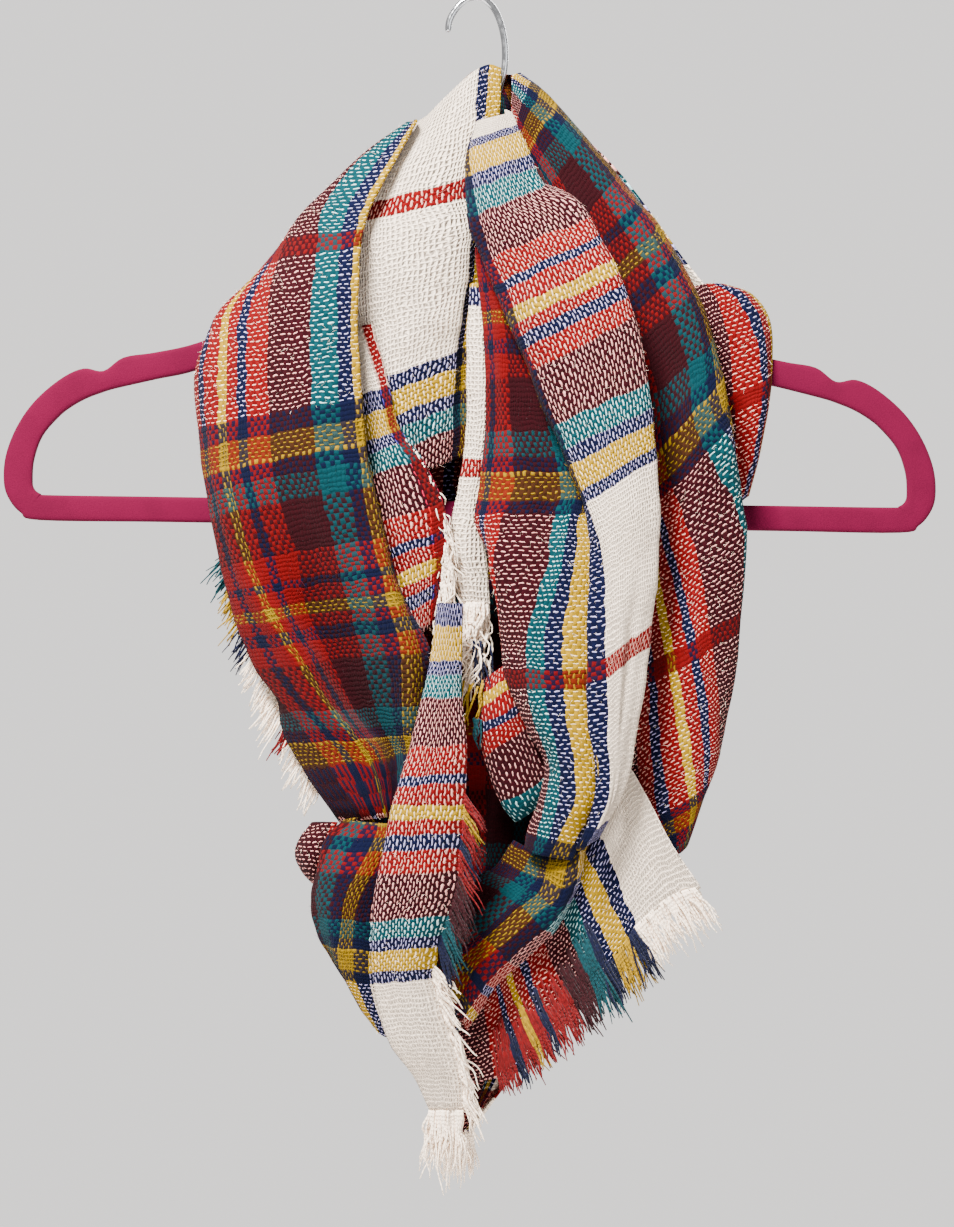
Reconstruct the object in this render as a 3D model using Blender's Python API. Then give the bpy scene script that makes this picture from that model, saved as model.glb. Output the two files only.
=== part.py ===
"""Plaid scarf wound and draped round a plain hanger.

Tables are in millimetres: x to the right, z up, y to the back, from the inside top of the hook.
A stretch of cloth is a net. Its columns follow warp threads, named by their place u across the cloth.
Its rows follow weft threads, named by their place v along the cloth.
The x and z in the tables are as seen straight from the front, and true_place moves them to their depth.
"""

import math
from collections import namedtuple

import bpy
import numpy as np

MM = 0.001
WALL = 2.0
SEAM_GAP = 0.6
SIGHT_X = 1.0
SIGHT_Z = -293.3
SIGHT_FAR = 1500.0
TABLE_SCALE = 1.011

Row = namedtuple("Row", "v z x y")
Stretch = namedtuple("Stretch", "name colour along across threads rows")
Fringe = namedtuple("Fringe", "name colour cloth side start end count thick reach_a reach_b")

CREAM = (0.80, 0.72, 0.60)
NAVY = (0.02, 0.03, 0.12)
YELLOW = (0.72, 0.42, 0.05)
TEAL = (0.02, 0.20, 0.20)
MAROON = (0.10, 0.01, 0.02)
RED = (0.50, 0.01, 0.02)
MAGENTA = (0.50, 0.005, 0.09)
CHROME = (0.70, 0.72, 0.74)

LEFT_LOBE = Stretch("left_lobe", MAROON, 1, 2, (245, 222, 199, 184, 170, 140, 117, 97, 91, 80), (
    Row(-70, (-61, -60), (-8, -17, -24, -28.5, -31, -32, -32, -28.8, -27, -27.4),
        (-5, -4.5, -4.5, -5.5, -7.5, -11, -14.5, -17.5, -16, -12.3)),
    Row(-48, (-80, -76), (-22, -32, -42, -47, -51, -53.5, -54, -38.5, -36, -36.8),
        (-6, -4.5, -4.5, -5.5, -7.5, -11.5, -16.5, -22.5, -20.5, -16)),
    Row(-22, (-108, -97), (-46, -56, -66, -71, -75, -79.5, -72, -51, -47.8, -48.8),
        (-7, -5, -4.5, -5, -7, -13, -25, -31.5, -28, -21.5)),
    Row(0, (-133, -113), (-60, -72, -84, -91, -96, -91, -75, -56, -53.4, -54.4),
        (-8, -5.5, -4.5, -5.5, -9, -20, -32, -36.5, -31.5, -24)),
    Row(22, (-157, -135), (-80, -95, -110, -118.5, -115.5, -97, -77.5, -57.4, -54.8, -55.6),
        (-7, -3.2, -3.2, -7.6, -18, -33, -41, -42, -37, -28.5)),
    Row(45, (-180, -158), (-98, -114, -130.5, -127.5, -119, -98, -78.3, -57.8, -55.4, -56),
        (-7, -3.4, -8, -19, -29, -41, -46, -45, -40.5, -30.4)),
    Row(77, (-214, -190), (-99, -115, -130.5, -127, -119, -97.5, -77.3, -56.2, -53.4, -53.8),
        (-9, -5.5, -10, -21, -32, -44, -49, -48, -43.5, -32.2)),
    Row(106, (-245, -219), (-95, -111, -126.5, -123.5, -116.5, -95, -74.6, -53.6, -50.2, -50.4),
        (-9, -6, -11, -23, -34, -44, -49, -49, -45, -34.2)),
    Row(140, (-278, -256), (-90, -106, -120.5, -115.5, -107, -84, -66.5, -47.7, -42.8, -42),
        (-9, -6, -12, -24, -34, -38, -44, -50, -48, -38)),
    Row(170, (-301, -284), (-83, -99, -114, -106, -96, -79, -60, -40.6, -35.6, -34),
        (-9, -6, -12, -25, -35, -28, -38, -50, -49, -41)),
    Row(200, (-324, -312), (-72, -88, -103, -93, -80.5, -67, -53, -33.5, -27.6, -20),
        (-9, -6.5, -12, -26, -36, -24, -31, -47, -49, -42)),
    Row(228, (-344, -341), (-76, -91.5, -85, -75, -64, -54, -46, -34, -28, -20),
        (-8, -10, -22, -31, -35, -23, -24, -36, -40, -36)),
    Row(254, (-366, -358), (-72, -82, -70, -59, -49, -42, -38, -32, -28, -22),
        (-8, -12, -24, -31, -33, -27, -25, -30, -33, -30)),
    Row(262, (-392, -384), (-62, -64, -54, -47, -42, -38, -35.5, -32, -29, -25),
        (-10, -16, -25, -29, -30, -28, -27, -28, -29, -28)),
))

LEFT_TURNED_EDGE = Stretch("left_turned_edge", CREAM, 2, 2, (30, 20, 12, 4.5, -4.5), (
    Row(45, (-160, -156), (-60, -57, -55, -53.5, -48.5), (-26, -28, -29, -29, -27)),
    Row(77, (-191, -185), (-58, -52, -49, -44.5, -40.5), (-29, -32, -33, -33, -30)),
    Row(97, (-210, -204), (-55, -48, -44, -40, -36), (-30, -33, -34, -34, -31)),
    Row(117, (-228, -219), (-51, -44, -38, -30.5, -25), (-30, -34, -36, -34, -30)),
    Row(140, (-251, -240), (-47, -39, -31, -22, -15), (-31, -35, -37, -34, -29)),
    Row(155, (-266, -254), (-43, -35, -28, -20, -13.5), (-31, -35, -36, -34, -30)),
    Row(170, (-280, -268), (-40, -31, -25, -19, -14), (-31, -34, -35, -33, -30)),
    Row(200, (-306, -296), (-35, -28, -24, -21, -19), (-30, -33, -33, -32, -30)),
))

CREAM_PANEL = Stretch("cream_panel", CREAM, 2, 2, (16, 30, 45, 60, 74, 86, 97), (
    Row(-50, (-60, -59, -56.5, -46.5, -37, -33.5, -35), (-27.5, -25.5, -22, -12, -1, 6.5, 12.2),
        (-9, -10, -10.5, -10, -8.5, -7, -6.5)),
    Row(-22, (-84, -81, -78, -72, -66, -62, -60), (-46, -41, -34, -19, -3, 4, 11),
        (-12, -14, -16, -16.5, -15, -12, -10)),
    Row(1.5, (-108, -105, -102, -98, -93, -90, -88), (-60, -53, -43, -26, -7, -1, 4),
        (-17, -20, -22.5, -23, -18.5, -14, -11.5)),
    Row(17, (-124, -121, -118, -113, -108, -106, -104), (-62, -55, -44, -24, -3.5, 2, 7),
        (-19, -23, -26, -26, -20, -14, -11.5)),
    Row(43, (-150, -147, -144, -140, -136, -134, -133), (-62, -55, -44, -25, -5.5, -1, 4),
        (-18, -22, -25, -25, -18, -12, -10)),
    Row(62, (-170, -167, -164, -159, -155, -153, -152), (-60, -53, -42, -25, -8.5, -4, 1),
        (-18, -22, -25, -24, -17, -11.5, -10)),
    Row(77.5, (-190, -186, -181, -176, -171, -169, -168), (-58, -51, -41, -26, -10.5, -6, -1),
        (-18, -22, -25, -23, -16, -11, -10)),
    Row(97.5, (-208, -204, -199, -193, -188, -186, -185), (-54, -48, -39, -26, -11.5, -7, -2),
        (-18, -22, -25, -23, -16, -11, -10)),
    Row(117, (-226, -222, -217, -211, -206, -204, -203), (-50, -45, -37, -25, -12, -7, -2),
        (-18, -22, -24, -22, -16, -11, -10)),
    Row(135, (-240, -236, -232, -226, -221, -219, -218), (-46, -42, -35, -25, -13, -8, -3),
        (-18, -21, -23, -21, -15, -11, -10)),
))

CENTRE_STRIP = Stretch("centre_strip", CREAM, 1, 2, (62, 54, 45, 36, 28), (
    Row(-87, (-137, -137), (3, -2.5, 4, 11, 6), (-16, -18, -21, -18, -15)),
    Row(-60, (-164, -164), (2, -4, 4, 11.5, 7), (-17, -20, -24, -20, -16)),
    Row(-34, (-190, -190), (2, -4, 3.5, 10.5, 6), (-17, -20, -25, -21, -16)),
    Row(-12, (-212, -212), (1, -5, 2, 8.5, 4), (-17, -20, -25, -21, -16)),
    Row(0, (-224, -224), (-1, -6.5, 0.5, 7, 3), (-17, -20, -25, -21, -16)),
    Row(21, (-245, -245), (-4, -10.5, -2.5, 5, 1), (-17, -20, -25, -21, -16)),
    Row(38, (-262, -262), (-6, -12.5, -4, 5, 1), (-17, -20, -25, -21, -16)),
    Row(56, (-280, -280), (-3, -9, -1, 7, 3), (-17, -20, -24, -20, -16)),
    Row(64, (-288, -288), (-2, -7, 0, 7, 4), (-17, -20, -23, -20, -17)),
))

RIGHT_STRAND = Stretch("right_strand", CREAM, 1, 2, (94, 86, 77.5, 62, 46, 32, 20, 8), (
    Row(58, (-61, -55), (4, 1.5, 1, 5, 10, 14.5, 17.5, 15), (-17, -20, -22, -26, -27, -25, -21, -17)),
    Row(86, (-76, -62), (3, -4, -3, 3, 10, 17, 21.5, 17), (-21, -23, -27, -31, -32, -30, -26, -20)),
    Row(97.5, (-87, -72), (4, -4.5, -1.5, 5.5, 13, 20, 26, 21), (-23, -26, -31, -36, -37, -35, -31, -23)),
    Row(117, (-108, -87), (6, -3.5, 1.7, 10, 19, 27, 33, 28), (-27, -31, -37, -42, -43, -41, -37, -28)),
    Row(128, (-120, -92), (8, 0, 5, 15, 27, 38, 47, 40), (-30, -34, -39, -45, -47, -45, -40, -30)),
    Row(140, (-131, -101), (10, 4, 8, 20, 33, 46, 54.5, 47), (-32, -36, -41, -47, -50, -48, -43, -33)),
    Row(158, (-146, -112), (14, 11, 15.5, 28, 41, 53, 61, 53), (-34, -39, -44, -50, -53, -51, -46, -35)),
    Row(173, (-162, -126), (19, 17, 20, 33, 47, 59.5, 68, 60), (-36, -40, -46, -52, -55, -53, -48, -37)),
    Row(187, (-174, -137), (24, 22, 24, 38, 52, 64.5, 72.5, 64), (-37, -41, -47, -53, -56, -54, -49, -39)),
    Row(205, (-192, -153), (31, 29.5, 31, 45, 58, 69.5, 77.5, 69), (-38, -42, -48, -54, -57, -55, -50, -41)),
    Row(222, (-208, -178), (38, 36.5, 38, 50.5, 63, 74, 82, 74), (-40, -43, -49, -55, -58, -56, -51, -43)),
    Row(242, (-229, -199), (46, 45.5, 46.5, 57, 67.5, 77, 84.5, 77), (-42, -45, -51, -57, -59, -57, -52, -44)),
    Row(262, (-247, -215), (54, 52, 53.5, 62, 71, 79.5, 86, 79), (-45, -48, -53, -58, -60, -57, -52, -44)),
    Row(280, (-262, -234), (59, 54, 58.5, 66, 73.5, 81, 87.3, 80), (-47, -50, -55, -59, -60, -57, -52, -44)),
    Row(300, (-279, -255), (58, 54, 61, 68.5, 75.5, 82, 87.4, 80), (-49, -52, -56, -59, -59, -56, -51, -43)),
    Row(320, (-299, -277), (57, 53, 62, 68.5, 75, 81, 86, 79), (-48, -53, -57, -59, -58, -55, -50, -43)),
    Row(339, (-322, -299), (57, 52.7, 62.3, 68, 73.5, 79, 83.5, 77), (-47.7, -53, -57, -58, -57, -54, -49, -42)),
    Row(360, (-342, -322), (57, 53.3, 62.8, 67, 71.5, 76, 80.5, 74), (-47.8, -53, -56, -57, -56, -53, -49, -42)),
    Row(380, (-360, -346), (60, 55.8, 63.3, 66.5, 69.5, 73, 76.8, 71), (-50, -53, -55, -56, -55, -52, -48, -42)),
    Row(397, (-376, -366), (61, 57, 64, 66, 68, 70.5, 73, 68), (-49, -52, -54, -54, -53, -51, -48, -43)),
    Row(412, (-391, -383), (58, 54, 60, 62, 63.5, 65, 66.5, 63), (-47, -50, -52, -52, -51, -50, -48, -44)),
    Row(425, (-404, -398), (52, 47.5, 52, 54, 55.5, 57, 58.5, 56), (-46, -48, -49, -49, -48, -47, -46, -43)),
))

OPENED_FOLD = Stretch("opened_fold", MAROON, 2, 2, (165, 152.5, 140, 117, 106, 97.5, 88, 82), (
    Row(137, (-120, -120), (0, 4, 8, 16, 22, 27, 31, 34), (-25, -26, -27, -27, -27, -27, -27, -26)),
    Row(177, (-160, -160), (4, 9, 15, 27, 33, 38, 42, 46), (-26, -29, -31, -31, -30, -29, -29, -28)),
    Row(217, (-200, -200), (5, 10, 17, 33, 40, 45, 49, 53), (-26, -30, -32, -32, -31, -30, -30, -30)),
    Row(248, (-232, -232), (2, 8, 19, 40, 47, 52, 56, 60), (-26, -31, -36, -35, -35, -35, -35, -35)),
    Row(266, (-250, -250), (0, 5, 13, 36, 44, 49, 54, 58), (-28, -34, -39, -40, -40, -39, -39, -39)),
    Row(287, (-270, -270), (10, 7, 9.5, 33, 40.5, 47.5, 55, 59), (-30, -36, -42, -46, -46, -44, -43, -42)),
    Row(315, (-299, -300), (22, 15, 12, 25, 33, 42.5, 53, 57), (-30, -34, -40, -49, -50, -49, -47, -45)),
    Row(339, (-322, -323), (27, 20, 14, 24, 32, 42.5, 53, 57), (-32, -35, -40, -49, -51, -51, -49, -46)),
    Row(362, (-344, -346), (36, 29, 23.5, 28, 35.5, 44.5, 54, 58), (-34, -36, -40, -47, -51, -52, -49, -46)),
    Row(382, (-362, -366), (45, 39, 33, 35, 40, 48, 56, 60), (-36, -38, -40, -44, -49, -51, -49, -46)),
    Row(399, (-377, -384), (42, 36, 30.5, 33, 39, 47, 54.5, 58), (-36, -38, -40, -44, -48, -50, -47, -45)),
    Row(411, (-388, -397), (34, 29, 26, 30, 36, 41, 48, 51), (-37, -38, -40, -43, -46, -47, -45, -43)),
    Row(424, (-400, -409), (26, 24, 23.5, 27, 31, 35.5, 43, 46), (-37, -38, -40, -42, -44, -44, -43, -42)),
))

FOLD_ROLL = Stretch("fold_roll", RED, 2, 2, (181, 170, 158, 140, 117, 106), (
    Row(360, (-326, -333, -344, -358, -374, -384), (15, 12, 11, 13, 19, 25), (-20, -22, -23, -24, -24, -24)),
    Row(374, (-325, -334, -346, -361, -381, -390), (4.5, 3, 3.5, 5.5, 12.5, 19.5), (-26, -29, -31, -32, -31, -29)),
    Row(390, (-320, -329, -342, -353, -375, -383), (11, 10.5, 12.5, 16, 24.5, 29.5), (-30, -35, -38, -38, -35, -31)),
    Row(405, (-314, -322, -335, -346, -366, -370), (19, 19, 21.5, 26, 36, 41), (-29.4, -32.4, -33.4, -32.2, -30, -28)),
))

LEFT_STRAND = Stretch("left_strand", CREAM, 1, 2, (90, 78, 66, 54, 44, 38), (
    Row(77.5, (-288, -288), (-13, -18, -15.5, -12, -8.5, -5.5), (-33, -37, -40, -41, -40, -38)),
    Row(97, (-313, -313), (-15, -21, -17.5, -13, -9, -6), (-38, -44, -48, -49, -47, -44)),
    Row(117, (-333, -332), (-19, -25.5, -20.5, -14.5, -9, -6), (-46, -52, -56, -57, -55, -51)),
    Row(140, (-357, -355), (-24, -31, -24, -16.5, -9, -3.8), (-51, -58, -63, -64, -61, -57)),
    Row(158, (-375, -373), (-30, -37, -29, -20, -11, -4.2), (-52, -60, -66, -67, -64, -59)),
    Row(170, (-387, -387), (-33, -40.3, -31.5, -22, -12, -4.7), (-52, -60, -66, -67, -64, -59)),
    Row(187, (-405, -404), (-36.5, -43.7, -34, -24, -14, -6.6), (-52, -60, -66, -68, -65, -59)),
    Row(205, (-423, -421), (-39.5, -47, -37, -27, -16.5, -8), (-51, -59, -66, -68, -65, -59)),
    Row(222, (-438, -435), (-41.5, -48.8, -40, -30, -20, -12), (-50, -58, -65, -67, -64, -58)),
    Row(237, (-450, -447), (-42, -49, -41, -32, -23, -16), (-49, -57, -63, -65, -62, -57)),
    Row(250, (-460, -458), (-42, -49, -42, -33.5, -25, -18), (-48, -55, -61, -63, -60, -55)),
    Row(262, (-469, -466), (-40, -47.5, -41, -33, -25, -19), (-46, -53, -58, -60, -58, -53)),
    Row(290, (-494, -492), (-35, -42, -34.5, -26, -17.5, -10.5), (-42, -48, -53, -55, -52, -48)),
    Row(312, (-510, -512), (-24, -29.5, -24, -17.5, -11, -5), (-38, -43, -47, -48, -46, -43)),
    Row(330, (-528, -528), (-17, -21.2, -18, -14, -9, -5), (-36, -39, -42, -43, -41, -39)),
))

LOW_LEFT_FOLD = Stretch("low_left_fold", MAROON, 2, 2, (140, 124, 117, 106, 97.5, 86, 77.5, 70), (
    Row(172, (-389, -393), (-56, -62, -59, -52, -45, -39, -36, -32), (-24.8, -28.8, -31.8, -34.8, -36.8, -37.8, -37.8, -36.8)),
    Row(181, (-398, -401), (-63, -70, -66.5, -57, -47.5, -41, -38.5, -35), (-28, -32, -36, -41, -43, -43, -42, -41)),
    Row(195, (-411, -414), (-66, -74, -72, -64, -54.5, -46.5, -43, -39), (-28, -33, -38, -45, -48, -47, -45, -44)),
    Row(210, (-424, -427), (-68, -77, -75, -68, -61, -53.5, -48, -43), (-28, -33, -38, -46, -50, -49, -47, -45)),
    Row(222, (-434, -438), (-68, -76.5, -74.5, -68.5, -63, -56, -49.5, -44), (-28, -33, -38, -46, -50, -50, -47, -45)),
    Row(237, (-444, -450), (-64, -73, -72, -68, -64, -57, -50, -44), (-28, -33, -37, -44, -48, -49, -47, -45)),
    Row(250, (-453, -460), (-60, -68, -67.5, -65.5, -63.5, -57, -50, -44), (-28, -32, -35, -41, -45, -47, -45, -43)),
    Row(262, (-462, -469), (-55, -62.5, -62, -61.5, -60.5, -55.5, -49, -43), (-28, -31, -33, -38, -42, -44, -43, -41)),
    Row(278, (-474, -481), (-47, -55, -54.7, -54.3, -54, -50.5, -46, -41), (-27, -30, -32, -35, -38, -40, -39, -38)),
    Row(292, (-486, -493), (-41, -47.5, -47, -46.5, -46, -44.5, -42, -37), (-26, -28, -30, -32, -35, -37, -37, -36)),
))

SMALL_ROLL = Stretch("small_roll", MAROON, 2, 2, (108, 120, 128, 136, 144), (
    Row(20, (-391, -391), (-70, -77, -74, -71, -64.8), (-12, -15, -18, -19, -16)),
    Row(28, (-398, -398), (-74, -82.5, -79, -73, -69), (-11, -15, -22, -24, -22)),
    Row(36, (-405, -406), (-75, -85, -82, -76, -71), (-11, -15, -23, -26, -24)),
    Row(44, (-412, -414), (-75, -83, -81, -77, -73), (-12, -15, -21, -24, -22)),
    Row(52, (-419, -421), (-73, -77, -76, -74, -72), (-12, -14, -17, -19, -18)),
))

CENTRE_BAND = Stretch("centre_band", MAROON, 1, 2, (140, 117, 106, 97.5, 86, 77.5, 65), (
    Row(424, (-400, -405, -407, -408, -407, -402, -397), (18, 27, 32, 35.5, 45, 50, 53.5),
        (-30, -33.6, -36.6, -38.4, -39.9, -38.7, -34)),
    Row(441, (-412, -417, -420, -421, -427, -424, -419), (10, 20, 27, 32, 40, 46.5, 49.5),
        (-29, -33, -37, -39, -41, -38, -31.4)),
    Row(452, (-416, -421, -426, -428, -434, -438, -440), (2, 14, 21.5, 25, 31.5, 37, 40),
        (-30, -34, -38, -40, -43, -41, -35)),
    Row(466, (-424, -430, -435, -437, -443.5, -448, -451), (-4, 5, 11.5, 14.5, 21, 26, 29.5),
        (-31, -35, -39, -41, -44, -42, -36)),
    Row(478, (-432, -438, -443, -445, -451, -456, -459), (-11, -4, 3, 5.5, 12, 17, 20.5),
        (-31, -36, -40, -42, -44, -42, -36)),
    Row(490, (-442, -446, -451, -453, -459.5, -465, -468), (-18, -12, -7, -4.5, 2, 7, 10.5),
        (-32, -37, -40, -42, -44, -42, -36)),
    Row(502, (-452, -456, -460, -463, -469, -475, -479), (-22, -17, -13, -11, -4, 0, 3.5),
        (-32, -36, -39, -41, -42, -40, -35)),
    Row(516, (-464, -468, -471, -474, -479, -485, -489), (-24, -20, -17, -15, -9, -6, -3.5),
        (-32, -35, -37, -38, -39, -37, -34)),
))

RIGHT_TAIL = Stretch("right_tail", CREAM, 2, 2,
    (222, 199, 187, 170, 152.5, 140, 117, 106, 97.5, 86, 77.5, 50, 25), (
    Row(20, (-474, -468, -462, -454, -445, -437, -428, -420, -412, -405, -395, -372, -366),
        (-8, 2, 8, 14, 22, 29, 39, 44, 48, 53, 58, 67, 73.5),
        (-24, -26, -27, -28, -29, -29, -29, -30, -30, -31, -32, -34, -34)),
    Row(40, (-486, -481, -475, -468, -459, -451, -441, -432, -426, -417, -408, -389, -383),
        (-8, 4, 11, 17, 26, 34, 43, 48, 53, 59, 64, 74, 83),
        (-24, -27, -27, -28, -30, -28, -29, -31, -31, -33, -34, -35, -34)),
    Row(58, (-501, -497, -491, -483, -474, -465, -454, -447, -441, -432, -425, -407, -402),
        (-7, 6, 15, 23, 31, 41, 49, 54, 60, 66, 70.5, 83, 93),
        (-23, -27, -26, -27, -29, -27, -28, -30, -30, -32, -33, -34, -32)),
    Row(76, (-514, -512, -506, -496, -487, -477, -466, -461, -454, -446, -440, -427, -422),
        (-5, 8, 19, 29, 37, 48, 55, 60, 66, 73, 77, 92, 106.5),
        (-22, -26, -25, -26, -28, -26, -27, -29, -29, -31, -32, -32, -30)),
))

RIGHT_LOBE = Stretch("right_lobe", RED, 1, 2, (205, 187, 170, 155, 140, 117, 106, 92, 80), (
    Row(62, (-76, -70, -64, -58, -52, -46, -42, -38, -37), (17, 17, 17, 17.2, 17.4, 17.6, 17.8, 18.5, 21.5),
        (-11, -11.5, -12, -12, -12, -11.5, -11, -9, -5)),
    Row(92, (-86, -80, -75, -70, -65, -58, -54, -48.5, -47), (23, 23, 23, 23.5, 25, 28.5, 32, 34.5, 34.3),
        (-11, -11.5, -12, -12.5, -13, -14, -14, -10.5, -5)),
    Row(117, (-106, -100, -95, -90, -85, -76, -70.2, -67.3, -66), (33, 34, 35, 36, 39, 45.5, 49.9, 51.3, 51.3),
        (-13, -14, -14, -15, -16, -18, -17.5, -12, -5)),
    Row(140, (-128, -122, -117, -112, -106, -96, -90, -86.5, -85), (42, 43, 45, 47, 52, 60, 65.7, 67.5, 67.2),
        (-15, -16, -17, -18, -20, -23, -22, -15, -6)),
    Row(170, (-156, -150, -145, -140, -135, -123, -116.7, -112, -110), (48, 51, 54, 58, 65, 77.5, 85.3, 88, 87.3),
        (-17, -18, -19, -21, -23, -27, -27, -19, -8.5)),
    Row(200, (-186, -180, -175, -170, -165, -152, -145.2, -140, -137), (58, 62, 66, 71, 79, 93, 101.4, 104.2, 103.3),
        (-19, -20, -21, -23, -26, -31, -31, -24, -13.5)),
    Row(222, (-209, -203, -198, -193, -187, -175, -169, -162, -158), (62, 67, 72, 78, 86, 100, 108, 112, 111),
        (-19, -20, -22, -24, -27, -33, -34.5, -28, -17.5)),
    Row(247, (-242, -236, -232, -227, -221, -205, -197, -188, -183), (66, 72, 77, 83, 90, 104, 111, 118, 117),
        (-19, -20, -22, -25, -28, -34, -37, -34, -23)),
    Row(270, (-264, -258, -253, -247, -240, -224, -215, -208, -204), (68, 75, 81, 88, 97, 113, 121.5, 121.5, 115),
        (-19, -21, -24, -28, -31, -36, -35, -26, -20)),
    Row(300, (-292, -286, -281, -275, -267, -254, -249, -245, -242), (70, 77, 86, 96, 106, 127, 125.5, 117, 109),
        (-19, -22, -26, -31, -34, -30, -23, -18, -16)),
    Row(339, (-328, -321, -315, -309, -303, -296, -292, -288, -286), (71, 81, 92.5, 104, 112, 125.5, 122.5, 113, 105),
        (-20, -25, -31, -34, -33, -27, -20, -15.5, -14)),
    Row(375, (-363, -355, -348, -342, -337, -332, -329, -327, -325), (73, 83, 97.5, 109.5, 115.5, 121.5, 117, 108, 101),
        (-18, -24, -30, -31, -29, -23, -17, -14, -13)),
    Row(410, (-392, -384, -375, -369, -366, -363, -361, -360, -359), (76, 86, 102, 110, 113.5, 114, 109, 103, 97),
        (-15, -21, -26, -25, -22, -16, -12.5, -11, -10.5)),
    Row(431, (-402, -395, -387, -383, -380, -378, -377, -376, -375), (83, 90, 103, 107, 107.5, 106, 102, 98, 94),
        (-14, -18, -22, -20, -17, -13, -11, -10, -10)),
    Row(450, (-408, -407, -404, -401, -398, -395, -393, -392, -391), (90.5, 94, 99, 101, 101.3, 100, 98, 96, 93),
        (-13, -15, -17, -16, -14, -12, -10.5, -10, -10)),
))

RIGHT_SHOULDER = Stretch("right_shoulder", RED, 2, 2, (110, 120, 140, 152.5, 158, 170), (
    Row(-62, (-139, -138, -137, -136.5, -136.5, -137), (101, 105, 109, 112, 115, 119),
        (-6.5, -7, -7.5, -7.5, -7, -5.5)),
    Row(-50, (-152, -150, -147, -144, -142, -142), (102, 107, 115, 122, 127, 131.5),
        (-7, -8, -9.5, -10, -9, -5.5)),
    Row(-30, (-172, -169, -165, -161, -158, -155), (104, 110, 119.5, 131, 136, 139.7),
        (-7, -8.5, -11, -12, -10, -3.8)),
    Row(-8, (-195, -191, -186, -181, -178, -176), (104, 110, 121, 134, 138.5, 140.6),
        (-7, -8.5, -11.5, -12.5, -10, -3.8)),
    Row(10, (-212, -208, -203, -198, -196, -194), (104, 110, 122, 134, 137.5, 139),
        (-7, -8.5, -11.5, -12, -9.5, -5.5)),
    Row(34, (-234, -230, -225, -221, -219, -218), (103, 109, 121, 130, 133.3, 134.5),
        (-7, -8.5, -11, -11, -9, -5.5)),
    Row(52, (-250, -247, -243, -240, -238, -237), (102, 107, 117, 125, 128, 129.5),
        (-7, -8, -9.5, -9.5, -8, -5.5)),
))

BACK_PANEL = Stretch("back_panel", CREAM, 1, 2, (-25, 15, 50, 80, 107, 133, 160, 187, 217, 253, 275), (
    Row(-162, (-47, -42, -38.5, -38, -37.5, -35.5, -36.5, -43, -51, -57, -59.5),
        (32, 27, 22, 17, 11, 5, -1, -8, -15, -21, -23), (1, 0, 0, 4.4, 4.4, 1, -1, -1.5, -1, -0.5, 0)),
    Row(-146, (-58, -51, -46, -44, -43, -42, -43, -49, -57, -64, -67),
        (42, 34, 26, 19, 12, 5, -3, -12, -21, -29, -32), (4.5, 8, 10, 9, 11, 9, 11, 9, 10, 6, 4)),
    Row(-116, (-86, -78, -72, -70, -68, -68, -70, -74, -80, -88, -92), (70, 57, 44, 31, 18, 5, -10, -24, -39, -53, -60),
        (5, 11, 14, 11, 15, 11, 15, 12, 14, 9, 5)),
    Row(-80, (-124, -114, -106, -102, -100, -100, -102, -106, -114, -124, -130), (98, 80, 61, 43, 24, 5, -14, -34, -56, -80, -95),
        (5.5, 13, 18, 13, 19, 14, 20, 14, 18, 12, 5.5)),
    Row(-40, (-166, -158, -150, -145, -142, -142, -144, -148, -154, -162, -166), (128, 103, 78, 54, 30, 6, -18, -43, -70, -102, -122),
        (6, 15, 22, 15, 23, 16, 24, 16, 22, 14, 6)),
    Row(5, (-208, -202, -194, -189, -186, -186, -188, -192, -198, -206, -210), (130, 105, 80, 55, 31, 6, -18, -43, -70, -102, -122),
        (6, 16, 24, 16, 25, 17, 26, 17, 23, 15, 6)),
    Row(50, (-250, -245, -238, -233, -230, -230, -232, -236, -242, -250, -254), (119, 98, 75, 52, 30, 7, -16, -40, -67, -97, -114),
        (5, 15, 24, 15, 25, 16, 26, 16, 23, 14, 5)),
    Row(100, (-296, -292, -286, -281, -278, -278, -279, -282, -287, -293, -296), (113, 92, 70, 49, 28, 7, -14, -36, -61, -88, -103),
        (-4, 8, 18, 9, 19, 10, 20, 10, 16, 8, 0)),
    Row(150, (-344, -341, -336, -331, -328, -327, -328, -330, -333, -337, -339), (102, 83, 64, 46, 28, 9, -10, -29, -51, -74, -87),
        (-7.7, 2, 11, 3, 12, 4, 13, 4, 9, 4, -2)),
    Row(200, (-392, -390, -386, -382, -379, -378, -378, -378, -379, -380, -380), (85, 70, 55, 40, 25, 9, -7, -22, -39, -56, -65),
        (-9.7, -4, 5, -2, 6, -1, 7, -1, 4, 0, -4)),
    Row(250, (-440, -438, -436, -433, -430, -428, -427, -426, -425, -424, -424), (66, 56, 44, 32, 20, 8, -5, -18, -31, -44, -52),
        (-11, -7, 0, -5, 1, -4, 2, -4, 0, -5, -9)),
    Row(295, (-478, -478, -477, -476, -475, -474, -473, -472, -470, -468, -467), (51, 43, 34, 26, 17, 8, -2, -11, -21, -30, -36),
        (-13, -10, -5, -8, -4, -8, -3, -8, -5, -9, -13)),
    Row(330, (-507, -509, -511, -512, -512, -512, -511, -510, -508, -505, -503), (21.5, 18, 14, 10, 6, 2, -3, -8, -13, -18, -22),
        (-15, -12, -10, -11, -9, -10, -9, -11, -10, -12, -15)),
    Row(356, (-534, -535, -536, -537, -537, -537, -537, -537, -536, -535, -534), (1, 0, -1.2, -2.4, -3.8, -5.2, -6.8, -8.4, -10, -11.5, -12.5),
        (-16, -15, -14, -14, -13, -13, -13, -14, -14, -15, -16)),
))

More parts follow.
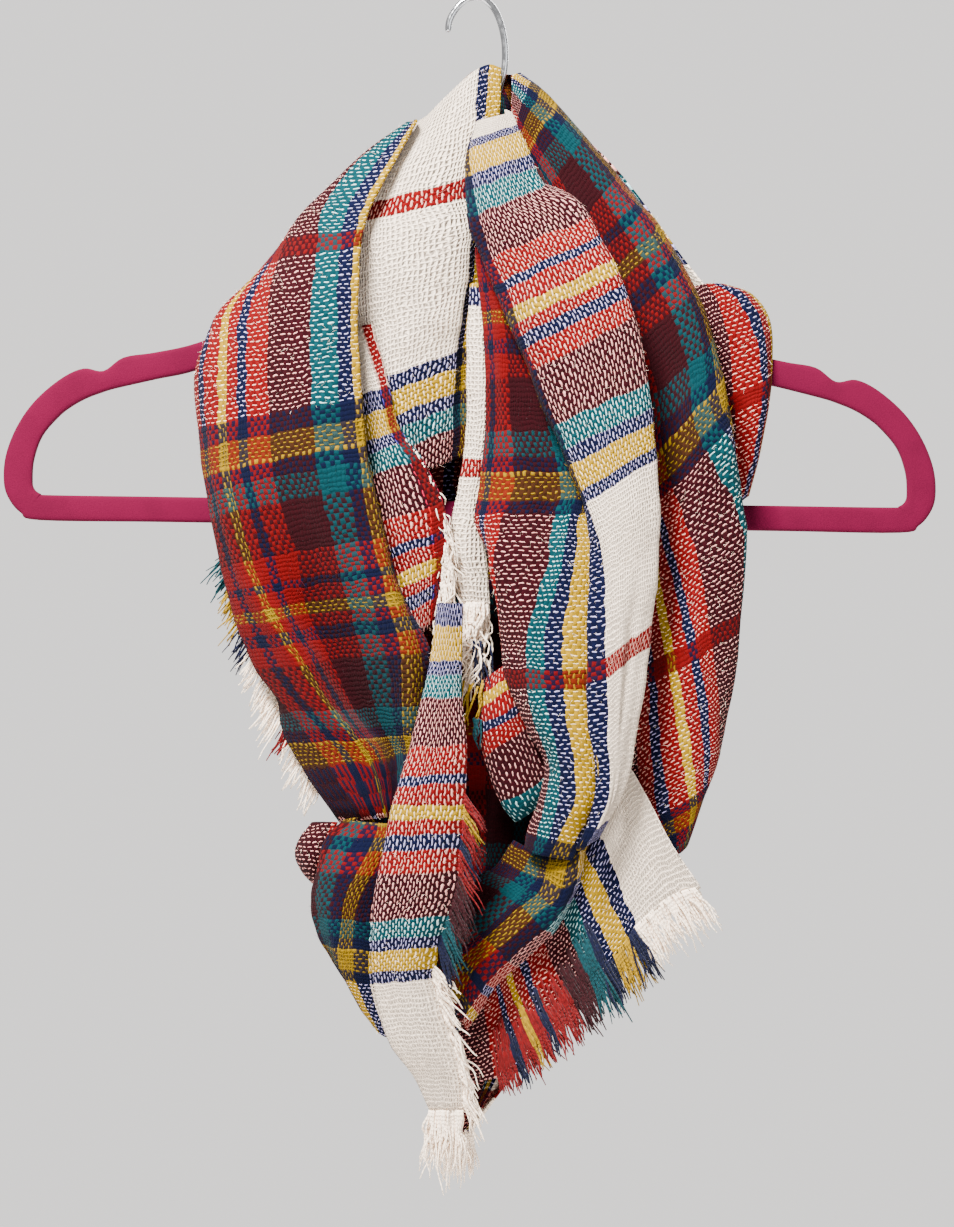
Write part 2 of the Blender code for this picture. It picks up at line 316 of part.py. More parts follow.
# Reaches are x, z and y from root to tip at the start and at the end of the edge
FRINGES = (
    Fringe("fringe_turned_edge", CREAM, "left_turned_edge", "right", 0.42, 0.97, 12, 1.3, (5, -16, 4), (3, -30, 2)),
    Fringe("fringe_centre_strip", CREAM, "centre_strip", "bottom", 0.26, 0.74, 6, 1.3, (-4, -38, -3), (-3, -36, -3)),
    Fringe("fringe_strand_side", RED, "left_strand", "right", 0.30, 0.66, 20, 1.3, (9, -12, 3), (7, -20, 3)),
    Fringe("fringe_strand_tip", CREAM, "left_strand", "right", 0.84, 0.98, 7, 1.3, (12, -10, 3), (9, -15, 2)),
    Fringe("fringe_strand_end", CREAM, "left_strand", "bottom", 0.27, 0.92, 7, 1.4, (-2, -26, 1), (1, -27, 1)),
    Fringe("fringe_tail_pale", CREAM, "right_tail", "bottom", 0.84, 0.99, 13, 1.5, (11, -19, 1), (10, -15, 1)),
    Fringe("fringe_tail_dark", NAVY, "right_tail", "bottom", 0.22, 0.81, 24, 1.5, (4, -9, 1), (11, -22, 1)),
    Fringe("fringe_back_left", CREAM, "back_panel", "right", 0.47, 0.67, 24, 1.5, (-13, -14, -2), (-10, -18, -2)),
    Fringe("fringe_back_corner", CREAM, "back_panel", "bottom", 0.30, 0.82, 5, 1.1, (1, -20, 1), (-2, -21, 1)),
)

# Half of the hanger's outline from its middle outwards: across, height of the outside and of the inside
ARM_HALF = (
    (0, -100.0, -112.5), (9, -101.5, -114.5), (18, -107.0, -120.0), (40, -120.0, -133.0), (70, -137.5, -150.3),
    (100, -153.0, -165.6), (130, -165.2, -178.2), (150, -170.0, -183.0),
)
END_HALF = (
    ((165.0, -172.6), (169.0, -187.6)), ((174.7, -179.2), (176.0, -189.8)), ((184.5, -178.2), (183.2, -192.7)),
    ((195.2, -183.3), (190.0, -196.6)), ((207.5, -194.0), (196.0, -201.4)), ((216.2, -206.6), (203.8, -210.7)),
    ((221.5, -220.5), (207.8, -221.8)), ((222.4, -233.0), (208.6, -231.0)), ((220.0, -241.0), (208.0, -235.6)),
    ((214.3, -247.6), (204.9, -238.3)), ((205.2, -251.0), (199.0, -238.9)),
)
BAR_STEPS = (150.0, 100.0, 50.0, 0.0)
BAR_TOP = -238.9
BAR_BOTTOM = -251.0
HANGER_MIDDLE = -2.5
HANGER_TILT = 0.0147
HANGER_HALF_DEPTH = 2.5
HANGER_ROUND = 1.4

HOOK_RADIUS = 1.55
HOOK_PATH = (
    (-13.0, -15.0), (-12.0, -9.0), (-8.7, -3.4), (-4.5, 0.4), (0.0, 1.55), (4.8, 0.4), (9.2, -3.8),
    (12.2, -10.5), (13.9, -18.0), (14.4, -25.0), (14.0, -32.5), (12.2, -41.0), (8.6, -52.0), (4.2, -64.0),
    (0.6, -78.0), (-0.9, -90.0), (-1.0, -99.7),
)


def clear_scene():
    for obj in list(bpy.data.objects):
        bpy.data.objects.remove(obj, do_unlink=True)


def material(name, colour, rough, metal=0.0):
    made = bpy.data.materials.new(name)
    made.use_nodes = True
    shader = made.node_tree.nodes["Principled BSDF"]
    shader.inputs["Base Color"].default_value = (*colour, 1.0)
    shader.inputs["Roughness"].default_value = rough
    shader.inputs["Metallic"].default_value = metal
    return made


def add_object(name, points, faces, colour, rough=0.9, metal=0.0):
    """One named object from points in millimetres."""
    mesh = bpy.data.meshes.new(name)
    mesh.from_pydata([tuple(float(c) * MM for c in p) for p in points], [], faces)
    mesh.validate()
    mesh.materials.append(material(name, colour, rough, metal))
    obj = bpy.data.objects.new(name, mesh)
    bpy.context.scene.collection.objects.link(obj)
    return obj


def true_place(x, z, y):
    """Where a point lies that lines up with (x, z) from the front, once it is at depth y."""
    share = TABLE_SCALE * (SIGHT_FAR + y) / SIGHT_FAR
    return np.array((SIGHT_X + (x - SIGHT_X) * share, y, SIGHT_Z + (z - SIGHT_Z) * share))


def row_heights(row, threads):
    if len(row.z) == len(threads):
        return row.z
    share = [(u - threads[0]) / (threads[-1] - threads[0]) for u in threads]
    return [row.z[0] + (row.z[1] - row.z[0]) * s for s in share]


def smooth_along(net, steps):
    """Points on smooth curves through the net's first direction, steps to each span."""
    padded = np.concatenate([[2 * net[0] - net[1]], net, [2 * net[-1] - net[-2]]])
    out = []
    for i in range(len(net) - 1):
        before, first, second, after = padded[i : i + 4]
        for k in range(steps):
            t = k / steps
            out.append(
                first
                + 0.5 * t * (second - before)
                + t * t * (before - 2.5 * first + 2 * second - 0.5 * after)
                + t * t * t * (1.5 * first - 1.5 * second + 0.5 * after - 0.5 * before)
            )
    out.append(net[-1])
    return np.array(out)


def cloth_points(stretch):
    """The outer points of a stretch, rows by columns."""
    net = []
    for row in stretch.rows:
        heights = row_heights(row, stretch.threads)
        net.append([true_place(x, z, y) for x, z, y in zip(row.x, heights, row.y)])
    net = smooth_along(np.array(net), stretch.along)
    return smooth_along(net.transpose(1, 0, 2), stretch.across).transpose(1, 0, 2)


def outward(points):
    """Unit normals of a net, on the side that is seen."""
    down = np.gradient(points, axis=0)
    over = np.gradient(points, axis=1)
    normal = np.cross(down, over)
    return normal / np.linalg.norm(normal, axis=2, keepdims=True)


def wall_faces(rows, cols):
    """Quads of a closed wall whose outer net comes first and inner net second."""
    inner = rows * cols
    faces = []
    for i in range(rows - 1):
        for j in range(cols - 1):
            a, b, c, d = i * cols + j, i * cols + j + 1, (i + 1) * cols + j + 1, (i + 1) * cols + j
            faces.append((a, d, c, b))
            faces.append((inner + a, inner + b, inner + c, inner + d))
    rim = [(0, j) for j in range(cols)]
    rim += [(i, cols - 1) for i in range(1, rows)]
    rim += [(rows - 1, j) for j in range(cols - 2, -1, -1)]
    rim += [(i, 0) for i in range(rows - 2, 0, -1)]
    for (i, j), (k, m) in zip(rim, rim[1:] + rim[:1]):
        a, b = i * cols + j, k * cols + m
        faces.append((a, b, inner + b, inner + a))
    return faces


def add_cloth(stretch):
    outer = cloth_points(stretch)
    inner = outer - WALL * outward(outer)
    rows, cols = outer.shape[:2]
    points = np.concatenate([outer.reshape(-1, 3), inner.reshape(-1, 3)])
    add_object(stretch.name, points, wall_faces(rows, cols), stretch.colour)
    return outer


def edge_line(outer, side):
    """Middle of the wall along one edge, the way out of the cloth there, and its normal."""
    normal = outward(outer)
    middle = outer - 0.5 * WALL * normal
    if side == "bottom":
        root, before, normals = middle[-1], middle[-2], normal[-1]
    else:
        root, before, normals = middle[:, -1], middle[:, -2], normal[:, -1]
    out = root - before
    return root, out / np.linalg.norm(out, axis=1, keepdims=True), normals


def at_share(line, share):
    place = share * (len(line) - 1)
    low = min(int(place), len(line) - 2)
    return line[low] + (line[low + 1] - line[low]) * (place - low)


def unit(vector):
    return vector / np.linalg.norm(vector)


def signed_volume(points, faces):
    total = 0.0
    for face in faces:
        for k in range(1, len(face) - 1):
            total += np.dot(points[face[0]], np.cross(points[face[k]], points[face[k + 1]]))
    return total / 6


def add_fringe(fringe, outer):
    """A narrow strip beside the cloth's edge, with one strand from each of its lower faces."""
    root, out, normals = edge_line(outer, fringe.side)
    half = 0.5 * fringe.thick
    points = []
    faces = []
    stations = []
    for i in range(fringe.count):
        for part in (0.12, 0.88):
            share = fringe.start + (fringe.end - fringe.start) * (i + part) / fringe.count
            at = at_share(root, share)
            away = unit(at_share(out, share))
            face = unit(at_share(normals, share))
            near = at + SEAM_GAP * away
            far = near + fringe.thick * away
            stations.append((near + half * face, near - half * face, far + half * face, far - half * face))
    for station in stations:
        points.extend(station)
    for k in range(len(stations) - 1):
        a, b = 4 * k, 4 * (k + 1)
        faces.append((a, b, b + 1, a + 1))
        faces.append((a, a + 2, b + 2, b))
        faces.append((a + 1, b + 1, b + 3, a + 3))
        if k % 2:
            faces.append((a + 2, a + 3, b + 3, b + 2))
    last = 4 * (len(stations) - 1)
    faces.append((0, 1, 3, 2))
    faces.append((last, last + 2, last + 3, last + 1))
    for i in range(fringe.count):
        share = (i + 0.5) / fringe.count
        reach = np.array(fringe.reach_a) * (1 - share) + np.array(fringe.reach_b) * share
        reach = np.array((reach[0], reach[2], reach[1])) * (0.9 + 0.13 * math.sin(2.4 * i + 1.0))
        ring = [4 * (2 * i) + 2, 4 * (2 * i) + 3, 4 * (2 * i + 1) + 3, 4 * (2 * i + 1) + 2]
        base = np.array([points[k] for k in ring])
        centre = base.mean(axis=0)
        for length, width, sag in ((0.5, 0.8, 0.9), (1.0, 0.45, 0.0)):
            middle = centre + reach * length + np.array((0.3 * math.sin(1.7 * i), 0.0, -sag))
            fresh = len(points)
            points.extend(middle + (base - centre) * width)
            for k in range(4):
                m = (k + 1) % 4
                faces.append((ring[k], ring[m], fresh + m, fresh + k))
            ring = [fresh + k for k in range(4)]
        faces.append(tuple(ring))
    if signed_volume(points, faces) < 0:
        faces = [face[::-1] for face in faces]
    add_object(fringe.name, points, faces, fringe.colour)


def tilted(across, height):
    """A point of the level hanger, moved to where the tilted one hangs."""
    return HANGER_MIDDLE + across, height - HANGER_TILT * across


def hanger_loops():
    """The outside and inside outlines, paired, from the middle of the arms round by the right."""
    half = [((x, top), (x, low)) for x, top, low in ARM_HALF]
    half += list(END_HALF)
    half += [((x, BAR_BOTTOM), (x, BAR_TOP)) for x in BAR_STEPS]
    whole = half + [((-a[0], a[1]), (-b[0], b[1])) for a, b in half[-2:0:-1]]
    return [(tilted(*a), tilted(*b)) for a, b in whole]


def add_hanger():
    """A flat ring with rounded edges, six points to each section."""
    loops = hanger_loops()
    points = []
    for a, b in loops:
        outer = np.array(a)
        inner = np.array(b)
        step = HANGER_ROUND * unit(inner - outer)
        for place, depth in (
            (outer, 0.0),
            (outer + step, -HANGER_HALF_DEPTH),
            (inner - step, -HANGER_HALF_DEPTH),
            (inner, 0.0),
            (inner - step, HANGER_HALF_DEPTH),
            (outer + step, HANGER_HALF_DEPTH),
        ):
            points.append((place[0], depth, place[1]))
    faces = []
    count = len(loops)
    for i in range(count):
        k = (i + 1) % count
        for j in range(6):
            m = (j + 1) % 6
            faces.append((6 * i + j, 6 * i + m, 6 * k + m, 6 * k + j))
    add_object("hanger_body", points, faces, MAGENTA, 0.85)


def add_hook():
    """Round wire on a smooth curve."""
    path = smooth_along(np.array([(x, 0.0, z) for x, z in HOOK_PATH]), 2)
    curve = bpy.data.curves.new("hanger_hook", "CURVE")
    curve.dimensions = "3D"
    curve.bevel_depth = HOOK_RADIUS * MM
    curve.bevel_resolution = 2
    curve.use_fill_caps = True
    spline = curve.splines.new("POLY")
    spline.points.add(len(path) - 1)
    for point, place in zip(spline.points, path):
        point.co = (*(float(c) * MM for c in place), 1.0)
    curve.materials.append(material("hanger_hook", CHROME, 0.15, 1.0))
    obj = bpy.data.objects.new("hanger_hook", curve)
    bpy.context.scene.collection.objects.link(obj)


def main():
    clear_scene()
    nets = {}
    for stretch in (
        LEFT_LOBE, LEFT_TURNED_EDGE, CREAM_PANEL, CENTRE_STRIP, RIGHT_STRAND, OPENED_FOLD, FOLD_ROLL,
        LEFT_STRAND, LOW_LEFT_FOLD, SMALL_ROLL, CENTRE_BAND, RIGHT_TAIL, RIGHT_LOBE, RIGHT_SHOULDER,
        BACK_PANEL,
    ):
        nets[stretch.name] = add_cloth(stretch)
    for fringe in FRINGES:
        add_fringe(fringe, nets[fringe.cloth])
    add_hanger()
    add_hook()


main()
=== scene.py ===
"""Plaid scarf wound and draped round a velvet hanger, laid out as an add-on.

Tables are in millimetres: x to the right, z up, y to the back, from the inside top of the hook.
A stretch of cloth is a net. Its columns follow warp threads, named by their place u across the cloth.
Its rows follow weft threads, named by their place v along the cloth.
The x and z in the tables are as seen straight from the front, and true_place moves them to their depth.
"""

import math
from collections import namedtuple

import bpy
import numpy as np
from bpy.props import FloatProperty, FloatVectorProperty, IntProperty, PointerProperty
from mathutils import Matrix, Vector, noise


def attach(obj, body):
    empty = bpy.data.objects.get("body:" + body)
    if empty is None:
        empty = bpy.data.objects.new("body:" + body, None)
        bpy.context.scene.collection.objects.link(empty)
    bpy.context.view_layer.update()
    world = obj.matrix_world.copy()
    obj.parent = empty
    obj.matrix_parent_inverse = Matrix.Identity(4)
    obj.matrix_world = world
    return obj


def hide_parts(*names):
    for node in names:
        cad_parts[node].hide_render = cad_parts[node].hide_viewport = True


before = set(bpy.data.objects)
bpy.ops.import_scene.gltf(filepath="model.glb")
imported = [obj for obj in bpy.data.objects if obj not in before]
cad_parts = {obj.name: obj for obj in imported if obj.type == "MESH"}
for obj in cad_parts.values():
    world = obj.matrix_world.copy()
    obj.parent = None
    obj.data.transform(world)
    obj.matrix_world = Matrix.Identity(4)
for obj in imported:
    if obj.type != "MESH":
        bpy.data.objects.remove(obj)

bl_info = {
    "name": "Plaid Scarf on a Hanger",
    "version": (1, 0, 0),
    "blender": (4, 5, 0),
    "location": "3D View > Sidebar > Plaid Scarf",
    "description": "Weaves and drapes a fringed plaid scarf round a velvet hanger",
    "category": "Object",
}

MM = 0.001
SIGHT_X = 1.0
SIGHT_Z = -293.3
SIGHT_FAR = 1500.0
TABLE_SCALE = 1.011
REPEAT_HALF = 169.7

Row = namedtuple("Row", "v z x y")
Stretch = namedtuple("Stretch", "name along across threads rows")
Crease = namedtuple("Crease", "cloth u_a v_a u_b v_b depth width")
Fringe = namedtuple(
    "Fringe", "name cloth side start end count reach_a reach_b keys lead curl", defaults=(0.0, 1.0)
)
Tuft = namedtuple("Tuft", "x z y reach count spread key")
Band = namedtuple("Band", "start colour")

# Stripes from the middle of the pale ground to the middle of the mustard line, mirrored and repeated
SETT = (
    Band(0.0, "red"), Band(4.5, "cream"), Band(77.5, "navy"), Band(86.0, "mustard"), Band(97.5, "navy"),
    Band(106.0, "teal"), Band(117.0, "maroon"), Band(140.0, "red"), Band(152.5, "navy"), Band(158.0, "red"),
    Band(166.5, "mustard"),
)
KEY = {"red": 146.0, "cream": 40.0, "navy": 101.0, "mustard": 92.0, "teal": 111.0, "maroon": 128.0}

# Middle and half width of the pale band, the yellow band and the yellow line where the sett folds
PALE_BAND = (41.0, 36.5)
GOLD_BAND = (91.75, 5.75)
GOLD_LINE = (REPEAT_HALF, 3.2)
# How far a yarn floats up when it is dyed, pale or yellow, and what yellow gains over a pale yarn
WARP_LIFT = (0.0, 1.0, -0.1, 0.7)
WEFT_LIFT = (0.0, 0.75, -0.1, 0.9)
# How narrow a yarn is when it is dyed, pale or yellow, and what yellow adds over a dyed yarn
WARP_LEAN = (1.5, 34.0, 2.0, 16.0)
WEFT_LEAN = (3.0, 72.0, 4.0, 26.0)
# How much a pale stroke takes of the yarn it crosses, and how much two dyed yarns mix
PALE_TINT = 0.40
DYED_HAZE = 0.10
# Painted shade on all cloth where two dyed yarns cross, standing in for the shade over the dark folds, and how
# much darker the cloth is where a pale yarn crosses a dyed one
DYED_PAINTED_SHADE = 0.22
MIXED_DIM = 0.32

YARN_SIDES = 5
# Corners of each side of a loose fibre, which is a closed needle
NEEDLE_SIDES = ((2, 1, 0), (3, 0, 1), (3, 1, 2), (3, 2, 0))
FRINGE_SEED = 11
TUFT_SEED = 31
FRONT_NAP_SEED = 51
BACK_NAP_SEED = 52

# The stage, in metres
FLOOR_RADIUS = 1.7
FLOOR_HEIGHT = -0.98
FLOOR_SIDES = 64
CARD_HALF = 0.9
CARD_BACK = 3.2
CARD_LOW = -1.4
CARD_TOP = 0.85
CARD_GLOW = 1.4
AIR_STRENGTH = 0.5
MIDDLE = (0.0, 0.0, -0.28)
BACK_LIGHT_SHARE = 5.0
CAMERA_LENS = 92.17
CAMERA_PLACE = (0.001, -1.5, -0.2925)

LEFT_LOBE = Stretch("left_lobe", 1, 2, (245, 222, 199, 184, 170, 140, 117, 97, 91, 80), (
    Row(-70, (-61, -60), (-8, -17, -24, -28.5, -31, -32, -32, -28.8, -27, -27.4),
        (-5, -4.5, -4.5, -5.5, -7.5, -11, -14.5, -17.5, -16, -12.3)),
    Row(-48, (-80, -76), (-22, -32, -42, -47, -51, -53.5, -54, -38.5, -36, -36.8),
        (-6, -4.5, -4.5, -5.5, -7.5, -11.5, -16.5, -22.5, -20.5, -16)),
    Row(-22, (-108, -97), (-46, -56, -66, -71, -75, -79.5, -72, -51, -47.8, -48.8),
        (-7, -5, -4.5, -5, -7, -13, -25, -31.5, -28, -21.5)),
    Row(0, (-133, -113), (-60, -72, -84, -91, -96, -91, -75, -56, -53.4, -54.4),
        (-8, -5.5, -4.5, -5.5, -9, -20, -32, -36.5, -31.5, -24)),
    Row(22, (-157, -135), (-80, -95, -110, -118.5, -115.5, -97, -77.5, -57.4, -54.8, -55.6),
        (-7, -3.2, -3.2, -7.6, -18, -33, -41, -42, -37, -28.5)),
    Row(45, (-180, -158), (-98, -114, -130.5, -127.5, -119, -98, -78.3, -57.8, -55.4, -56),
        (-7, -3.4, -8, -19, -29, -41, -46, -45, -40.5, -30.4)),
    Row(77, (-214, -190), (-99, -115, -130.5, -127, -119, -97.5, -77.3, -56.2, -53.4, -53.8),
        (-9, -5.5, -10, -21, -32, -44, -49, -48, -43.5, -32.2)),
    Row(106, (-245, -219), (-95, -111, -126.5, -123.5, -116.5, -95, -74.6, -53.6, -50.2, -50.4),
        (-9, -6, -11, -23, -34, -44, -49, -49, -45, -34.2)),
    Row(140, (-278, -256), (-90, -106, -120.5, -115.5, -107, -84, -66.5, -47.7, -42.8, -42),
        (-9, -6, -12, -24, -34, -38, -44, -50, -48, -38)),
    Row(170, (-301, -284), (-83, -99, -114, -106, -96, -79, -60, -40.6, -35.6, -34),
        (-9, -6, -12, -25, -35, -28, -38, -50, -49, -41)),
    Row(200, (-324, -312), (-72, -88, -103, -93, -80.5, -67, -53, -33.5, -27.6, -20),
        (-9, -6.5, -12, -26, -36, -24, -31, -47, -49, -42)),
    # The last rows' thread places along are bunched so that dyed weft covers the lobe's shaded bottom and the
    # pale weft starts only at the last row: dark cloth painted in for shade
    Row(228, (-344, -341), (-76, -91.5, -85, -75, -64, -54, -46, -34, -28, -20),
        (-8, -10, -22, -31, -35, -23, -24, -36, -40, -36)),
    Row(254, (-366, -358), (-72, -82, -70, -59, -49, -42, -38, -32, -28, -22),
        (-8, -12, -24, -31, -33, -27, -25, -30, -33, -30)),
    Row(262, (-392, -384), (-62, -64, -54, -47, -42, -38, -35.5, -32, -29, -25),
        (-10, -16, -25, -29, -30, -28, -27, -28, -29, -28)),
))

LEFT_TURNED_EDGE = Stretch("left_turned_edge", 2, 2, (30, 20, 12, 4.5, -4.5), (
    Row(45, (-160, -156), (-60, -57, -55, -53.5, -48.5), (-26, -28, -29, -29, -27)),
    Row(77, (-191, -185), (-58, -52, -49, -44.5, -40.5), (-29, -32, -33, -33, -30)),
    Row(97, (-210, -204), (-55, -48, -44, -40, -36), (-30, -33, -34, -34, -31)),
    Row(117, (-228, -219), (-51, -44, -38, -30.5, -25), (-30, -34, -36, -34, -30)),
    Row(140, (-251, -240), (-47, -39, -31, -22, -15), (-31, -35, -37, -34, -29)),
    Row(155, (-266, -254), (-43, -35, -28, -20, -13.5), (-31, -35, -36, -34, -30)),
    Row(170, (-280, -268), (-40, -31, -25, -19, -14), (-31, -34, -35, -33, -30)),
    Row(200, (-306, -296), (-35, -28, -24, -21, -19), (-30, -33, -33, -32, -30)),
))

CREAM_PANEL = Stretch("cream_panel", 2, 2, (16, 30, 45, 60, 74, 86, 97), (
    Row(-50, (-60, -59, -56.5, -46.5, -37, -33.5, -35), (-27.5, -25.5, -22, -12, -1, 6.5, 12.2),
        (-9, -10, -10.5, -10, -8.5, -7, -6.5)),
    Row(-22, (-84, -81, -78, -72, -66, -62, -60), (-46, -41, -34, -19, -3, 4, 11),
        (-12, -14, -16, -16.5, -15, -12, -10)),
    Row(1.5, (-108, -105, -102, -98, -93, -90, -88), (-60, -53, -43, -26, -7, -1, 4),
        (-17, -20, -22.5, -23, -18.5, -14, -11.5)),
    Row(17, (-124, -121, -118, -113, -108, -106, -104), (-62, -55, -44, -24, -3.5, 2, 7),
        (-19, -23, -26, -26, -20, -14, -11.5)),
    Row(43, (-150, -147, -144, -140, -136, -134, -133), (-62, -55, -44, -25, -5.5, -1, 4),
        (-18, -22, -25, -25, -18, -12, -10)),
    Row(62, (-170, -167, -164, -159, -155, -153, -152), (-60, -53, -42, -25, -8.5, -4, 1),
        (-18, -22, -25, -24, -17, -11.5, -10)),
    Row(77.5, (-190, -186, -181, -176, -171, -169, -168), (-58, -51, -41, -26, -10.5, -6, -1),
        (-18, -22, -25, -23, -16, -11, -10)),
    Row(97.5, (-208, -204, -199, -193, -188, -186, -185), (-54, -48, -39, -26, -11.5, -7, -2),
        (-18, -22, -25, -23, -16, -11, -10)),
    Row(117, (-226, -222, -217, -211, -206, -204, -203), (-50, -45, -37, -25, -12, -7, -2),
        (-18, -22, -24, -22, -16, -11, -10)),
    Row(135, (-240, -236, -232, -226, -221, -219, -218), (-46, -42, -35, -25, -13, -8, -3),
        (-18, -21, -23, -21, -15, -11, -10)),
))

CENTRE_STRIP = Stretch("centre_strip", 1, 2, (62, 54, 45, 36, 28), (
    Row(-87, (-137, -137), (3, -2.5, 4, 11, 6), (-16, -18, -21, -18, -15)),
    Row(-60, (-164, -164), (2, -4, 4, 11.5, 7), (-17, -20, -24, -20, -16)),
    Row(-34, (-190, -190), (2, -4, 3.5, 10.5, 6), (-17, -20, -25, -21, -16)),
    Row(-12, (-212, -212), (1, -5, 2, 8.5, 4), (-17, -20, -25, -21, -16)),
    Row(0, (-224, -224), (-1, -6.5, 0.5, 7, 3), (-17, -20, -25, -21, -16)),
    Row(21, (-245, -245), (-4, -10.5, -2.5, 5, 1), (-17, -20, -25, -21, -16)),
    Row(38, (-262, -262), (-6, -12.5, -4, 5, 1), (-17, -20, -25, -21, -16)),
    Row(56, (-280, -280), (-3, -9, -1, 7, 3), (-17, -20, -24, -20, -16)),
    Row(64, (-288, -288), (-2, -7, 0, 7, 4), (-17, -20, -23, -20, -17)),
))

RIGHT_STRAND = Stretch("right_strand", 1, 2, (94, 86, 77.5, 62, 46, 32, 20, 8), (
    Row(58, (-61, -55), (4, 1.5, 1, 5, 10, 14.5, 17.5, 15), (-17, -20, -22, -26, -27, -25, -21, -17)),
    Row(86, (-76, -62), (3, -4, -3, 3, 10, 17, 21.5, 17), (-21, -23, -27, -31, -32, -30, -26, -20)),
    Row(97.5, (-87, -72), (4, -4.5, -1.5, 5.5, 13, 20, 26, 21), (-23, -26, -31, -36, -37, -35, -31, -23)),
    Row(117, (-108, -87), (6, -3.5, 1.7, 10, 19, 27, 33, 28), (-27, -31, -37, -42, -43, -41, -37, -28)),
    Row(128, (-120, -92), (8, 0, 5, 15, 27, 38, 47, 40), (-30, -34, -39, -45, -47, -45, -40, -30)),
    Row(140, (-131, -101), (10, 4, 8, 20, 33, 46, 54.5, 47), (-32, -36, -41, -47, -50, -48, -43, -33)),
    Row(158, (-146, -112), (14, 11, 15.5, 28, 41, 53, 61, 53), (-34, -39, -44, -50, -53, -51, -46, -35)),
    Row(173, (-162, -126), (19, 17, 20, 33, 47, 59.5, 68, 60), (-36, -40, -46, -52, -55, -53, -48, -37)),
    Row(187, (-174, -137), (24, 22, 24, 38, 52, 64.5, 72.5, 64), (-37, -41, -47, -53, -56, -54, -49, -39)),
    Row(205, (-192, -153), (31, 29.5, 31, 45, 58, 69.5, 77.5, 69), (-38, -42, -48, -54, -57, -55, -50, -41)),
    Row(222, (-208, -178), (38, 36.5, 38, 50.5, 63, 74, 82, 74), (-40, -43, -49, -55, -58, -56, -51, -43)),
    Row(242, (-229, -199), (46, 45.5, 46.5, 57, 67.5, 77, 84.5, 77),
        (-42, -45, -51, -57, -59, -57, -52, -44)),
    Row(262, (-247, -215), (54, 52, 53.5, 62, 71, 79.5, 86, 79), (-45, -48, -53, -58, -60, -57, -52, -44)),
    Row(280, (-262, -234), (59, 54, 58.5, 66, 73.5, 81, 87.3, 80), (-47, -50, -55, -59, -60, -57, -52, -44)),
    Row(300, (-279, -255), (58, 54, 61, 68.5, 75.5, 82, 87.4, 80), (-49, -52, -56, -59, -59, -56, -51, -43)),
    Row(320, (-299, -277), (57, 53, 62, 68.5, 75, 81, 86, 79), (-48, -53, -57, -59, -58, -55, -50, -43)),
    Row(339, (-322, -299), (57, 52.7, 62.3, 68, 73.5, 79, 83.5, 77),
        (-47.7, -53, -57, -58, -57, -54, -49, -42)),
    Row(360, (-342, -322), (57, 53.3, 62.8, 67, 71.5, 76, 80.5, 74),
        (-47.8, -53, -56, -57, -56, -53, -49, -42)),
    Row(380, (-360, -346), (60, 55.8, 63.3, 66.5, 69.5, 73, 76.8, 71),
        (-50, -53, -55, -56, -55, -52, -48, -42)),
    Row(397, (-376, -366), (61, 57, 64, 66, 68, 70.5, 73, 68), (-49, -52, -54, -54, -53, -51, -48, -43)),
    Row(412, (-391, -383), (58, 54, 60, 62, 63.5, 65, 66.5, 63), (-47, -50, -52, -52, -51, -50, -48, -44)),
    Row(425, (-404, -398), (52, 47.5, 52, 54, 55.5, 57, 58.5, 56), (-46, -48, -49, -49, -48, -47, -46, -43)),
))

OPENED_FOLD = Stretch("opened_fold", 2, 2, (165, 152.5, 140, 117, 106, 97.5, 88, 82), (
    Row(137, (-120, -120), (0, 4, 8, 16, 22, 27, 31, 34), (-25, -26, -27, -27, -27, -27, -27, -26)),
    Row(177, (-160, -160), (4, 9, 15, 27, 33, 38, 42, 46), (-26, -29, -31, -31, -30, -29, -29, -28)),
    Row(217, (-200, -200), (5, 10, 17, 33, 40, 45, 49, 53), (-26, -30, -32, -32, -31, -30, -30, -30)),
    Row(248, (-232, -232), (2, 8, 19, 40, 47, 52, 56, 60), (-26, -31, -36, -35, -35, -35, -35, -35)),
    Row(266, (-250, -250), (0, 5, 13, 36, 44, 49, 54, 58), (-28, -34, -39, -40, -40, -39, -39, -39)),
    Row(287, (-270, -270), (10, 7, 9.5, 33, 40.5, 47.5, 55, 59), (-30, -36, -42, -46, -46, -44, -43, -42)),
    Row(315, (-299, -300), (22, 15, 12, 25, 33, 42.5, 53, 57), (-30, -34, -40, -49, -50, -49, -47, -45)),
    Row(339, (-322, -323), (27, 20, 14, 24, 32, 42.5, 53, 57), (-32, -35, -40, -49, -51, -51, -49, -46)),
    Row(362, (-344, -346), (36, 29, 23.5, 28, 35.5, 44.5, 54, 58), (-34, -36, -40, -47, -51, -52, -49, -46)),
    Row(382, (-362, -366), (45, 39, 33, 35, 40, 48, 56, 60), (-36, -38, -40, -44, -49, -51, -49, -46)),
    Row(399, (-377, -384), (42, 36, 30.5, 33, 39, 47, 54.5, 58), (-36, -38, -40, -44, -48, -50, -47, -45)),
    Row(411, (-388, -397), (34, 29, 26, 30, 36, 41, 48, 51), (-37, -38, -40, -43, -46, -47, -45, -43)),
    Row(424, (-400, -409), (26, 24, 23.5, 27, 31, 35.5, 43, 46), (-37, -38, -40, -42, -44, -44, -43, -42)),
))

